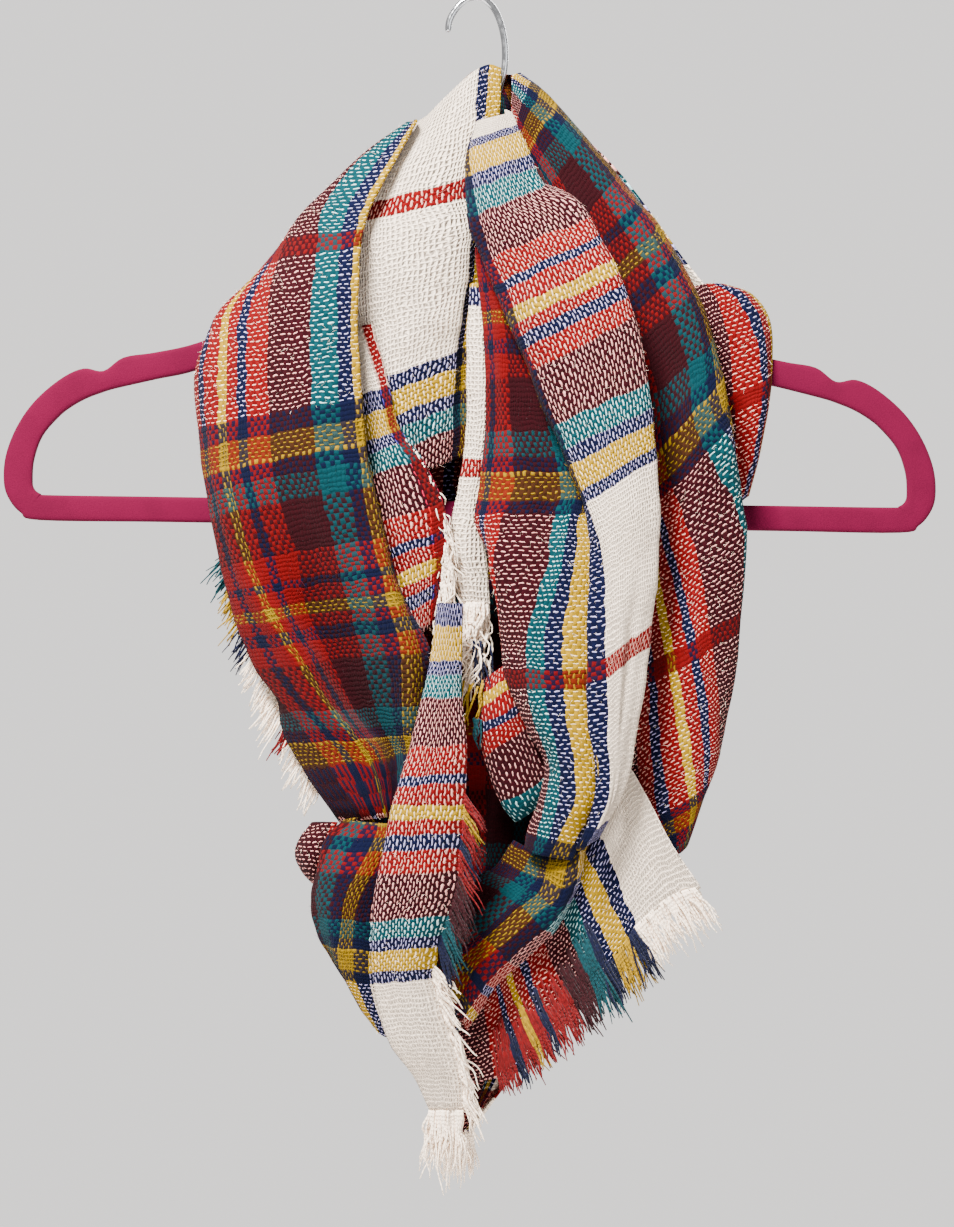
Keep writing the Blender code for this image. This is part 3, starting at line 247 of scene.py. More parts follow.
FOLD_ROLL = Stretch("fold_roll", 2, 2, (181, 170, 158, 140, 117, 106), (
    Row(360, (-326, -333, -344, -358, -374, -384), (15, 12, 11, 13, 19, 25), (-20, -22, -23, -24, -24, -24)),
    Row(374, (-325, -334, -346, -361, -381, -390), (4.5, 3, 3.5, 5.5, 12.5, 19.5),
        (-26, -29, -31, -32, -31, -29)),
    Row(390, (-320, -329, -342, -353, -375, -383), (11, 10.5, 12.5, 16, 24.5, 29.5),
        (-30, -35, -38, -38, -35, -31)),
    Row(405, (-314, -322, -335, -346, -366, -370), (19, 19, 21.5, 26, 36, 41),
        (-29.4, -32.4, -33.4, -32.2, -30, -28)),
))

LEFT_STRAND = Stretch("left_strand", 1, 2, (90, 78, 66, 54, 44, 38), (
    Row(77.5, (-288, -288), (-13, -18, -15.5, -12, -8.5, -5.5), (-33, -37, -40, -41, -40, -38)),
    Row(97, (-313, -313), (-15, -21, -17.5, -13, -9, -6), (-38, -44, -48, -49, -47, -44)),
    Row(117, (-333, -332), (-19, -25.5, -20.5, -14.5, -9, -6), (-46, -52, -56, -57, -55, -51)),
    Row(140, (-357, -355), (-24, -31, -24, -16.5, -9, -3.8), (-51, -58, -63, -64, -61, -57)),
    Row(158, (-375, -373), (-30, -37, -29, -20, -11, -4.2), (-52, -60, -66, -67, -64, -59)),
    Row(170, (-387, -387), (-33, -40.3, -31.5, -22, -12, -4.7), (-52, -60, -66, -67, -64, -59)),
    Row(187, (-405, -404), (-36.5, -43.7, -34, -24, -14, -6.6), (-52, -60, -66, -68, -65, -59)),
    Row(205, (-423, -421), (-39.5, -47, -37, -27, -16.5, -8), (-51, -59, -66, -68, -65, -59)),
    Row(222, (-438, -435), (-41.5, -48.8, -40, -30, -20, -12), (-50, -58, -65, -67, -64, -58)),
    Row(237, (-450, -447), (-42, -49, -41, -32, -23, -16), (-49, -57, -63, -65, -62, -57)),
    Row(250, (-460, -458), (-42, -49, -42, -33.5, -25, -18), (-48, -55, -61, -63, -60, -55)),
    Row(262, (-469, -466), (-40, -47.5, -41, -33, -25, -19), (-46, -53, -58, -60, -58, -53)),
    Row(290, (-494, -492), (-35, -42, -34.5, -26, -17.5, -10.5), (-42, -48, -53, -55, -52, -48)),
    Row(312, (-510, -512), (-24, -29.5, -24, -17.5, -11, -5), (-38, -43, -47, -48, -46, -43)),
    Row(330, (-528, -528), (-17, -21.2, -18, -14, -9, -5), (-36, -39, -42, -43, -41, -39)),
))

LOW_LEFT_FOLD = Stretch("low_left_fold", 2, 2, (140, 124, 117, 106, 97.5, 86, 77.5, 70), (
    Row(172, (-389, -393), (-56, -62, -59, -52, -45, -39, -36, -32),
        (-24.8, -28.8, -31.8, -34.8, -36.8, -37.8, -37.8, -36.8)),
    Row(181, (-398, -401), (-63, -70, -66.5, -57, -47.5, -41, -38.5, -35),
        (-28, -32, -36, -41, -43, -43, -42, -41)),
    Row(195, (-411, -414), (-66, -74, -72, -64, -54.5, -46.5, -43, -39),
        (-28, -33, -38, -45, -48, -47, -45, -44)),
    Row(210, (-424, -427), (-68, -77, -75, -68, -61, -53.5, -48, -43),
        (-28, -33, -38, -46, -50, -49, -47, -45)),
    Row(222, (-434, -438), (-68, -76.5, -74.5, -68.5, -63, -56, -49.5, -44),
        (-28, -33, -38, -46, -50, -50, -47, -45)),
    Row(237, (-444, -450), (-64, -73, -72, -68, -64, -57, -50, -44),
        (-28, -33, -37, -44, -48, -49, -47, -45)),
    Row(250, (-453, -460), (-60, -68, -67.5, -65.5, -63.5, -57, -50, -44),
        (-28, -32, -35, -41, -45, -47, -45, -43)),
    Row(262, (-462, -469), (-55, -62.5, -62, -61.5, -60.5, -55.5, -49, -43),
        (-28, -31, -33, -38, -42, -44, -43, -41)),
    Row(278, (-474, -481), (-47, -55, -54.7, -54.3, -54, -50.5, -46, -41),
        (-27, -30, -32, -35, -38, -40, -39, -38)),
    Row(292, (-486, -493), (-41, -47.5, -47, -46.5, -46, -44.5, -42, -37),
        (-26, -28, -30, -32, -35, -37, -37, -36)),
))

SMALL_ROLL = Stretch("small_roll", 2, 2, (108, 120, 128, 136, 144), (
    Row(20, (-391, -391), (-70, -77, -74, -71, -64.8), (-12, -15, -18, -19, -16)),
    Row(28, (-398, -398), (-74, -82.5, -79, -73, -69), (-11, -15, -22, -24, -22)),
    Row(36, (-405, -406), (-75, -85, -82, -76, -71), (-11, -15, -23, -26, -24)),
    Row(44, (-412, -414), (-75, -83, -81, -77, -73), (-12, -15, -21, -24, -22)),
    Row(52, (-419, -421), (-73, -77, -76, -74, -72), (-12, -14, -17, -19, -18)),
))

CENTRE_BAND = Stretch("centre_band", 1, 2, (140, 117, 106, 97.5, 86, 77.5, 65), (
    Row(424, (-400, -405, -407, -408, -407, -402, -397), (18, 27, 32, 35.5, 45, 50, 53.5),
        (-30, -33.6, -36.6, -38.4, -39.9, -38.7, -34)),
    Row(441, (-412, -417, -420, -421, -427, -424, -419), (10, 20, 27, 32, 40, 46.5, 49.5),
        (-29, -33, -37, -39, -41, -38, -31.4)),
    Row(452, (-416, -421, -426, -428, -434, -438, -440), (2, 14, 21.5, 25, 31.5, 37, 40),
        (-30, -34, -38, -40, -43, -41, -35)),
    Row(466, (-424, -430, -435, -437, -443.5, -448, -451), (-4, 5, 11.5, 14.5, 21, 26, 29.5),
        (-31, -35, -39, -41, -44, -42, -36)),
    Row(478, (-432, -438, -443, -445, -451, -456, -459), (-11, -4, 3, 5.5, 12, 17, 20.5),
        (-31, -36, -40, -42, -44, -42, -36)),
    Row(490, (-442, -446, -451, -453, -459.5, -465, -468), (-18, -12, -7, -4.5, 2, 7, 10.5),
        (-32, -37, -40, -42, -44, -42, -36)),
    Row(502, (-452, -456, -460, -463, -469, -475, -479), (-22, -17, -13, -11, -4, 0, 3.5),
        (-32, -36, -39, -41, -42, -40, -35)),
    Row(516, (-464, -468, -471, -474, -479, -485, -489), (-24, -20, -17, -15, -9, -6, -3.5),
        (-32, -35, -37, -38, -39, -37, -34)),
))

RIGHT_TAIL = Stretch("right_tail", 2, 2,
    (222, 199, 187, 170, 152.5, 140, 117, 106, 97.5, 86, 77.5, 50, 25), (
    Row(20, (-474, -468, -462, -454, -445, -437, -428, -420, -412, -405, -395, -372, -366),
        (-8, 2, 8, 14, 22, 29, 39, 44, 48, 53, 58, 67, 73.5),
        (-24, -26, -27, -28, -29, -29, -29, -30, -30, -31, -32, -34, -34)),
    Row(40, (-486, -481, -475, -468, -459, -451, -441, -432, -426, -417, -408, -389, -383),
        (-8, 4, 11, 17, 26, 34, 43, 48, 53, 59, 64, 74, 83),
        (-24, -27, -27, -28, -30, -28, -29, -31, -31, -33, -34, -35, -34)),
    Row(58, (-501, -497, -491, -483, -474, -465, -454, -447, -441, -432, -425, -407, -402),
        (-7, 6, 15, 23, 31, 41, 49, 54, 60, 66, 70.5, 83, 93),
        (-23, -27, -26, -27, -29, -27, -28, -30, -30, -32, -33, -34, -32)),
    Row(76, (-514, -512, -506, -496, -487, -477, -466, -461, -454, -446, -440, -427, -422),
        (-5, 8, 19, 29, 37, 48, 55, 60, 66, 73, 77, 92, 106.5),
        (-22, -26, -25, -26, -28, -26, -27, -29, -29, -31, -32, -32, -30)),
))

RIGHT_LOBE = Stretch("right_lobe", 1, 2, (205, 187, 170, 155, 140, 117, 106, 92, 80), (
    Row(62, (-76, -70, -64, -58, -52, -46, -42, -38, -37), (17, 17, 17, 17.2, 17.4, 17.6, 17.8, 18.5, 21.5),
        (-11, -11.5, -12, -12, -12, -11.5, -11, -9, -5)),
    Row(92, (-86, -80, -75, -70, -65, -58, -54, -48.5, -47), (23, 23, 23, 23.5, 25, 28.5, 32, 34.5, 34.3),
        (-11, -11.5, -12, -12.5, -13, -14, -14, -10.5, -5)),
    Row(117, (-106, -100, -95, -90, -85, -76, -70.2, -67.3, -66),
        (33, 34, 35, 36, 39, 45.5, 49.9, 51.3, 51.3),
        (-13, -14, -14, -15, -16, -18, -17.5, -12, -5)),
    Row(140, (-128, -122, -117, -112, -106, -96, -90, -86.5, -85), (42, 43, 45, 47, 52, 60, 65.7, 67.5, 67.2),
        (-15, -16, -17, -18, -20, -23, -22, -15, -6)),
    Row(170, (-156, -150, -145, -140, -135, -123, -116.7, -112, -110),
        (48, 51, 54, 58, 65, 77.5, 85.3, 88, 87.3),
        (-17, -18, -19, -21, -23, -27, -27, -19, -8.5)),
    Row(200, (-186, -180, -175, -170, -165, -152, -145.2, -140, -137),
        (58, 62, 66, 71, 79, 93, 101.4, 104.2, 103.3),
        (-19, -20, -21, -23, -26, -31, -31, -24, -13.5)),
    Row(222, (-209, -203, -198, -193, -187, -175, -169, -162, -158), (62, 67, 72, 78, 86, 100, 108, 112, 111),
        (-19, -20, -22, -24, -27, -33, -34.5, -28, -17.5)),
    Row(247, (-242, -236, -232, -227, -221, -205, -197, -188, -183), (66, 72, 77, 83, 90, 104, 111, 118, 117),
        (-19, -20, -22, -25, -28, -34, -37, -34, -23)),
    Row(270, (-264, -258, -253, -247, -240, -224, -215, -208, -204),
        (68, 75, 81, 88, 97, 113, 121.5, 121.5, 115),
        (-19, -21, -24, -28, -31, -36, -35, -26, -20)),
    Row(300, (-292, -286, -281, -275, -267, -254, -249, -245, -242),
        (70, 77, 86, 96, 106, 127, 125.5, 117, 109),
        (-19, -22, -26, -31, -34, -30, -23, -18, -16)),
    Row(339, (-328, -321, -315, -309, -303, -296, -292, -288, -286),
        (71, 81, 92.5, 104, 112, 125.5, 122.5, 113, 105),
        (-20, -25, -31, -34, -33, -27, -20, -15.5, -14)),
    Row(375, (-363, -355, -348, -342, -337, -332, -329, -327, -325),
        (73, 83, 97.5, 109.5, 115.5, 121.5, 117, 108, 101),
        (-18, -24, -30, -31, -29, -23, -17, -14, -13)),
    Row(410, (-392, -384, -375, -369, -366, -363, -361, -360, -359),
        (76, 86, 102, 110, 113.5, 114, 109, 103, 97),
        (-15, -21, -26, -25, -22, -16, -12.5, -11, -10.5)),
    Row(431, (-402, -395, -387, -383, -380, -378, -377, -376, -375),
        (83, 90, 103, 107, 107.5, 106, 102, 98, 94),
        (-14, -18, -22, -20, -17, -13, -11, -10, -10)),
    Row(450, (-408, -407, -404, -401, -398, -395, -393, -392, -391),
        (90.5, 94, 99, 101, 101.3, 100, 98, 96, 93),
        (-13, -15, -17, -16, -14, -12, -10.5, -10, -10)),
))

RIGHT_SHOULDER = Stretch("right_shoulder", 2, 2, (110, 120, 140, 152.5, 158, 170), (
    Row(-62, (-139, -138, -137, -136.5, -136.5, -137), (101, 105, 109, 112, 115, 119),
        (-6.5, -7, -7.5, -7.5, -7, -5.5)),
    Row(-50, (-152, -150, -147, -144, -142, -142), (102, 107, 115, 122, 127, 131.5),
        (-7, -8, -9.5, -10, -9, -5.5)),
    Row(-30, (-172, -169, -165, -161, -158, -155), (104, 110, 119.5, 131, 136, 139.7),
        (-7, -8.5, -11, -12, -10, -3.8)),
    Row(-8, (-195, -191, -186, -181, -178, -176), (104, 110, 121, 134, 138.5, 140.6),
        (-7, -8.5, -11.5, -12.5, -10, -3.8)),
    Row(10, (-212, -208, -203, -198, -196, -194), (104, 110, 122, 134, 137.5, 139),
        (-7, -8.5, -11.5, -12, -9.5, -5.5)),
    Row(34, (-234, -230, -225, -221, -219, -218), (103, 109, 121, 130, 133.3, 134.5),
        (-7, -8.5, -11, -11, -9, -5.5)),
    Row(52, (-250, -247, -243, -240, -238, -237), (102, 107, 117, 125, 128, 129.5),
        (-7, -8, -9.5, -9.5, -8, -5.5)),
))

# Its thread places across are offset so that dyed stripes, not the pale ground, lie behind the gap between the
# front strands: dark cloth painted in as the shade of that gap
BACK_PANEL = Stretch("back_panel", 1, 2, (-25, 15, 50, 80, 107, 133, 160, 187, 217, 253, 275), (
    Row(-162, (-47, -42, -38.5, -38, -37.5, -35.5, -36.5, -43, -51, -57, -59.5),
        (32, 27, 22, 17, 11, 5, -1, -8, -15, -21, -23), (1, 0, 0, 4.4, 4.4, 1, -1, -1.5, -1, -0.5, 0)),
    Row(-146, (-58, -51, -46, -44, -43, -42, -43, -49, -57, -64, -67),
        (42, 34, 26, 19, 12, 5, -3, -12, -21, -29, -32), (4.5, 8, 10, 9, 11, 9, 11, 9, 10, 6, 4)),
    Row(-116, (-86, -78, -72, -70, -68, -68, -70, -74, -80, -88, -92),
        (70, 57, 44, 31, 18, 5, -10, -24, -39, -53, -60),
        (5, 11, 14, 11, 15, 11, 15, 12, 14, 9, 5)),
    Row(-80, (-124, -114, -106, -102, -100, -100, -102, -106, -114, -124, -130),
        (98, 80, 61, 43, 24, 5, -14, -34, -56, -80, -95),
        (5.5, 13, 18, 13, 19, 14, 20, 14, 18, 12, 5.5)),
    Row(-40, (-166, -158, -150, -145, -142, -142, -144, -148, -154, -162, -166),
        (128, 103, 78, 54, 30, 6, -18, -43, -70, -102, -122),
        (6, 15, 22, 15, 23, 16, 24, 16, 22, 14, 6)),
    Row(5, (-208, -202, -194, -189, -186, -186, -188, -192, -198, -206, -210),
        (130, 105, 80, 55, 31, 6, -18, -43, -70, -102, -122),
        (6, 16, 24, 16, 25, 17, 26, 17, 23, 15, 6)),
    Row(50, (-250, -245, -238, -233, -230, -230, -232, -236, -242, -250, -254),
        (119, 98, 75, 52, 30, 7, -16, -40, -67, -97, -114),
        (5, 15, 24, 15, 25, 16, 26, 16, 23, 14, 5)),
    Row(100, (-296, -292, -286, -281, -278, -278, -279, -282, -287, -293, -296),
        (113, 92, 70, 49, 28, 7, -14, -36, -61, -88, -103),
        (-4, 8, 18, 9, 19, 10, 20, 10, 16, 8, 0)),
    Row(150, (-344, -341, -336, -331, -328, -327, -328, -330, -333, -337, -339),
        (102, 83, 64, 46, 28, 9, -10, -29, -51, -74, -87),
        (-7.7, 2, 11, 3, 12, 4, 13, 4, 9, 4, -2)),
    Row(200, (-392, -390, -386, -382, -379, -378, -378, -378, -379, -380, -380),
        (85, 70, 55, 40, 25, 9, -7, -22, -39, -56, -65),
        (-9.7, -4, 5, -2, 6, -1, 7, -1, 4, 0, -4)),
    Row(250, (-440, -438, -436, -433, -430, -428, -427, -426, -425, -424, -424),
        (66, 56, 44, 32, 20, 8, -5, -18, -31, -44, -52),
        (-11, -7, 0, -5, 1, -4, 2, -4, 0, -5, -9)),
    Row(295, (-478, -478, -477, -476, -475, -474, -473, -472, -470, -468, -467),
        (51, 43, 34, 26, 17, 8, -2, -11, -21, -30, -36),
        (-13, -10, -5, -8, -4, -8, -3, -8, -5, -9, -13)),
    Row(330, (-507, -509, -511, -512, -512, -512, -511, -510, -508, -505, -503),
        (21.5, 18, 14, 10, 6, 2, -3, -8, -13, -18, -22),
        (-15, -12, -10, -11, -9, -10, -9, -11, -10, -12, -15)),
    Row(356, (-534, -535, -536, -537, -537, -537, -537, -537, -536, -535, -534),
        (1, 0, -1.2, -2.4, -3.8, -5.2, -6.8, -8.4, -10, -11.5, -12.5),
        (-16, -15, -14, -14, -13, -13, -13, -14, -14, -15, -16)),
))

# Half of the hanger's outline from its middle outwards: across, height of the outside and of the inside
ARM_HALF = (
    (0, -100.0, -112.5), (9, -101.5, -114.5), (18, -107.0, -120.0), (40, -120.0, -133.0), (70, -137.5, -150.3),
    (100, -153.0, -165.6), (130, -165.2, -178.2), (150, -170.0, -183.0),
)
END_HALF = (
    ((165.0, -172.6), (169.0, -187.6)), ((174.7, -179.2), (176.0, -189.8)), ((184.5, -178.2), (183.2, -192.7)),
    ((195.2, -183.3), (190.0, -196.6)), ((207.5, -194.0), (196.0, -201.4)), ((216.2, -206.6), (203.8, -210.7)),
    ((221.5, -220.5), (207.8, -221.8)), ((222.4, -233.0), (208.6, -231.0)), ((220.0, -241.0), (208.0, -235.6)),
    ((214.3, -247.6), (204.9, -238.3)), ((205.2, -251.0), (199.0, -238.9)),
)
BAR_STEPS = (150.0, 100.0, 50.0, 0.0)
BAR_TOP = -238.9
BAR_BOTTOM = -251.0
HANGER_MIDDLE = -2.5
HANGER_TILT = 0.0147
HANGER_HALF_DEPTH = 2.5
HANGER_SQUARE = 0.45
HANGER_SWELL = 1.04

HOOK_RADIUS = 1.55
HOOK_PATH = (
    (-13.0, -15.0), (-12.0, -9.0), (-8.7, -3.4), (-4.5, 0.4), (0.0, 1.55), (4.8, 0.4), (9.2, -3.8),
    (12.2, -10.5), (13.9, -18.0), (14.4, -25.0), (14.0, -32.5), (12.2, -41.0), (8.6, -52.0), (4.2, -64.0),
    (0.6, -78.0), (-0.9, -90.0), (-1.0, -99.7),
)

# Soft ridges and troughs: ends in threads, depth outwards and half width in millimetres
CREASES = (
    Crease("left_lobe", 190, -20, 176, 120, 1.6, 9),
    Crease("left_lobe", 150, 10, 128, 150, -1.8, 10),
    Crease("left_lobe", 118, 60, 112, 190, 1.4, 8),
    Crease("left_lobe", 176, 150, 150, 215, 2.0, 8),
    Crease("left_lobe", 160, 190, 120, 250, -1.6, 7),
    Crease("left_lobe", 180, 215, 130, 285, 1.8, 7),
    Crease("left_lobe", 108, 150, 96, 230, 1.2, 6),
    Crease("left_lobe", 205, 60, 196, 200, -1.0, 8),
    Crease("cream_panel", 24, -20, 66, 60, 1.4, 7),
    Crease("cream_panel", 60, -40, 84, 30, -1.3, 7),
    Crease("cream_panel", 34, 40, 72, 112, -1.2, 8),
    Crease("right_strand", 70, 100, 64, 240, 1.3, 7),
    Crease("right_strand", 36, 120, 46, 260, -1.5, 7),
    Crease("right_strand", 74, 250, 52, 400, 1.6, 7),
    Crease("right_strand", 40, 300, 58, 410, -1.2, 6),
    Crease("opened_fold", 150, 180, 120, 300, 1.4, 6),
    Crease("opened_fold", 128, 220, 104, 350, -1.4, 6),
    Crease("opened_fold", 120, 310, 92, 410, 1.5, 6),
    Crease("left_strand", 70, 110, 64, 230, 1.3, 6),
    Crease("left_strand", 56, 150, 66, 300, -1.2, 6),
    Crease("low_left_fold", 118, 190, 96, 260, 1.3, 6),
    Crease("low_left_fold", 104, 185, 84, 250, -1.3, 6),
    Crease("centre_band", 120, 435, 112, 505, 1.2, 5),
    Crease("centre_band", 96, 440, 94, 510, -1.2, 5),
    Crease("right_tail", 180, 30, 120, 66, 1.2, 7),
    Crease("right_tail", 110, 24, 60, 60, -1.2, 8),
    Crease("right_lobe", 176, 140, 150, 300, 1.5, 8),
    Crease("right_lobe", 140, 160, 118, 330, -1.5, 8),
    Crease("right_lobe", 190, 280, 140, 400, 1.6, 8),
    Crease("right_lobe", 120, 210, 104, 300, 1.3, 7),
    Crease("right_shoulder", 128, -50, 136, 40, 1.0, 6),
    Crease("back_panel", 25, -70, 65, 240, 3.4, 13),
    Crease("back_panel", 85, -110, 95, 290, -3.0, 12),
    Crease("back_panel", 155, -90, 135, 270, 3.5, 14),
    Crease("back_panel", 205, -60, 175, 210, -3.0, 12),
    Crease("back_panel", 245, -30, 205, 250, 2.8, 12),
    Crease("back_panel", -5, -10, 55, 310, -2.4, 11),
)

FRINGES = (
    Fringe("fringe_turned_edge", "left_turned_edge", "right", 0.34, 0.97, 120,
        (5, -16, 4), (3, -30, 2), "cream", 0.0, 2.0),
    Fringe("fringe_centre_strip", "centre_strip", "bottom", 0.06, 0.94, 75,
        (0, -30, -3), (-9, -42, -3), "cream", 0.0, 2.2),
    Fringe("fringe_strand_side", "left_strand", "right", 0.30, 0.66, 150, (9, -12, 3), (7, -20, 3), "v"),
    Fringe("fringe_strand_tip", "left_strand", "right", 0.72, 0.98, 90,
        (11, -12, 3), (8, -17, 2), "cream", 0.0, 1.5),
    Fringe("fringe_strand_end", "left_strand", "bottom", 0.16, 0.96, 80,
        (-2, -26, 1), (1, -27, 1), "cream", 0.0, 1.5),
    Fringe("fringe_tail_pale", "right_tail", "bottom", 0.82, 0.99, 130,
        (11, -19, 1), (10, -15, 1), "cream", 0.0, 1.3),
    Fringe("fringe_tail_dark", "right_tail", "bottom", 0.10, 0.82, 260, (4, -9, 1), (11, -22, 1), "u", 0.5),
    Fringe("fringe_back_left", "back_panel", "right", 0.47, 0.67, 260,
        (-13, -14, -2), (-10, -18, -2), "back"),
    Fringe("fringe_back_corner", "back_panel", "bottom", 0.22, 0.88, 60, (1, -20, 1), (-2, -21, 1), "cream"),
)
# Colours down the fringe behind the left lobe, each from its share of the way
BACK_KEYS = ((0.0, "teal"), (0.12, "mustard"), (0.30, "navy"), (0.40, "cream"), (0.72, "red"), (0.78, "cream"))


def settings():
    return bpy.context.scene.plaid_scarf


def true_place(x, z, y):
    """Where a point lies that lines up with (x, z) from the front, once it is at depth y."""
    share = TABLE_SCALE * (SIGHT_FAR + y) / SIGHT_FAR
    return np.array((SIGHT_X + (x - SIGHT_X) * share, y, SIGHT_Z + (z - SIGHT_Z) * share))


def row_heights(row, threads):
    if len(row.z) == len(threads):
        return row.z
    share = [(u - threads[0]) / (threads[-1] - threads[0]) for u in threads]
    return [row.z[0] + (row.z[1] - row.z[0]) * s for s in share]


def smooth_along(net, steps):
    """Points on smooth curves through the net's first direction, steps to each span."""
    padded = np.concatenate([[2 * net[0] - net[1]], net, [2 * net[-1] - net[-2]]])
    out = []
    for i in range(len(net) - 1):
        before, first, second, after = padded[i : i + 4]
        for k in range(steps):
            t = k / steps
            out.append(
                first
                + 0.5 * t * (second - before)
                + t * t * (before - 2.5 * first + 2 * second - 0.5 * after)
                + t * t * t * (1.5 * first - 1.5 * second + 0.5 * after - 0.5 * before)
            )
    out.append(net[-1])
    return np.array(out)


def even_steps(values, steps):
    """Thread places at each point of a smoothed net."""
    spans = len(values) - 1
    return np.interp(np.arange(spans * steps + 1) / steps, np.arange(spans + 1), values)


def outward(points):
    """Unit normals of a net, on the side that is seen."""
    down = np.gradient(points, axis=0)
    over = np.gradient(points, axis=1)
    normal = np.cross(down, over)
    return normal / np.linalg.norm(normal, axis=2, keepdims=True)


def crease_heights(stretch, u, v):
    """How far the creases move each point outwards."""
    heights = np.zeros((len(v), len(u)))
    grid_u, grid_v = np.meshgrid(u, v)
    for crease in CREASES:
        if crease.cloth != stretch.name:
            continue
        run = np.array((crease.u_b - crease.u_a, crease.v_b - crease.v_a), float)
        long = np.dot(run, run)
        share = np.clip(((grid_u - crease.u_a) * run[0] + (grid_v - crease.v_a) * run[1]) / long, 0.0, 1.0)
        away = np.hypot(grid_u - crease.u_a - share * run[0], grid_v - crease.v_a - share * run[1])
        swell = 0.35 + 0.65 * np.sin(math.pi * np.clip(share, 0.02, 0.98)) ** 0.7
        heights += crease.depth * swell * np.exp(-((away / crease.width) ** 2))
    return heights


def soft_noise(points, size, seed):
    flat = points.reshape(-1, 3)
    shift = Vector((seed * 13.7, seed * 5.1, seed * 7.9))
    values = [noise.noise(Vector(p) / size + shift) for p in flat]
    return np.array(values).reshape(points.shape[:2])


def cloth_net(stretch):
    """Outer points, thread places across and thread places along."""
    net = []
    for row in stretch.rows:
        heights = row_heights(row, stretch.threads)
        net.append([true_place(x, z, y) for x, z, y in zip(row.x, heights, row.y)])
    along, across = stretch.along * 4, stretch.across * 3
    net = smooth_along(np.array(net), along)
    net = smooth_along(net.transpose(1, 0, 2), across).transpose(1, 0, 2)
    u = even_steps(stretch.threads, across)
    v = even_steps([row.v for row in stretch.rows], along)
    move = crease_heights(stretch, u, v)
    look = settings().cloth
    move += look.unevenness * soft_noise(net, 17.0, 1) + 0.45 * look.unevenness * soft_noise(net, 7.0, 2)
    rim = np.minimum.outer(
        np.minimum(np.arange(len(v)), len(v) - 1 - np.arange(len(v))),
        np.full(len(u), 99),
    )
    rim = np.minimum(rim, np.minimum(np.arange(len(u)), len(u) - 1 - np.arange(len(u)))[None, :])
    move *= np.clip(rim / 4.0, 0.15, 1.0)
    return net + move[:, :, None] * outward(net), u, v


def new_object(name, points, faces, uvs=None, finish=None, smooth=True):
    """One object from points in millimetres, with thread places in its UV map."""
    mesh = bpy.data.meshes.new(name)
    mesh.from_pydata([tuple(float(c) * MM for c in p) for p in points], [], faces)
    if uvs is not None:
        layer = mesh.uv_layers.new(name="threads")
        loops = np.zeros(len(mesh.loops), int)
        mesh.loops.foreach_get("vertex_index", loops)
        layer.data.foreach_set("uv", np.asarray(uvs, float)[loops].ravel())
    if smooth:
        mesh.polygons.foreach_set("use_smooth", [True] * len(mesh.polygons))
    if finish is not None:
        mesh.materials.append(finish)
    obj = bpy.data.objects.new(name, mesh)
    bpy.context.scene.collection.objects.link(obj)
    return obj


def shell_faces(rows, cols):
    """Quads of a closed cloth: outer net, inner net, and a rounded rim of mid points between."""
    inner = rows * cols
    faces = []
    for i in range(rows - 1):
        for j in range(cols - 1):
            a, b, c, d = i * cols + j, i * cols + j + 1, (i + 1) * cols + j + 1, (i + 1) * cols + j
            faces.append((a, d, c, b))
            faces.append((inner + a, inner + b, inner + c, inner + d))
    rim = [(0, j) for j in range(cols)]
    rim += [(i, cols - 1) for i in range(1, rows)]
    rim += [(rows - 1, j) for j in range(cols - 2, -1, -1)]
    rim += [(i, 0) for i in range(rows - 2, 0, -1)]
    middle = 2 * inner
    count = len(rim)
    for n, (i, j) in enumerate(rim):
        k, m = rim[(n + 1) % count]
        a, b = i * cols + j, k * cols + m
        c, d = middle + n, middle + (n + 1) % count
        faces.append((a, b, d, c))
        faces.append((c, d, inner + b, inner + a))
    return faces, rim


def drape(stretch, finish):
    """One stretch of cloth as a thin shell with a rounded edge."""
    outer, u, v = cloth_net(stretch)
    thick = settings().cloth.thickness / MM
    normal = outward(outer)
    inner = outer - thick * normal
    rows, cols = outer.shape[:2]
    faces, rim = shell_faces(rows, cols)
    grid_u, grid_v = np.meshgrid(u, v)
    uv = np.stack([grid_u, grid_v], axis=2)
    middle = []
    middle_uv = []
    for i, j in rim:
        away = np.zeros(3)
        if i in (0, rows - 1):
            away += outer[i, j] - outer[1 if i == 0 else rows - 2, j]
        if j in (0, cols - 1):
            away += outer[i, j] - outer[i, 1 if j == 0 else cols - 2]
        middle.append(0.5 * (outer[i, j] + inner[i, j]) + 0.42 * thick * away / np.linalg.norm(away))
        middle_uv.append(uv[i, j])
    points = np.concatenate([outer.reshape(-1, 3), inner.reshape(-1, 3), np.array(middle)])
    uvs = np.concatenate([uv.reshape(-1, 2), uv.reshape(-1, 2), np.array(middle_uv)])
    obj = new_object(stretch.name + "_cloth", points, faces, uvs, finish)
    place(obj, "scarf_cloth", stretch.name)
    return obj, outer, uv


def place(obj, slot, *nodes):
    """The piece rides on the one body and stands for its nodes; its slot is not used."""
    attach(obj, "root")
    if nodes:
        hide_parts(*nodes)


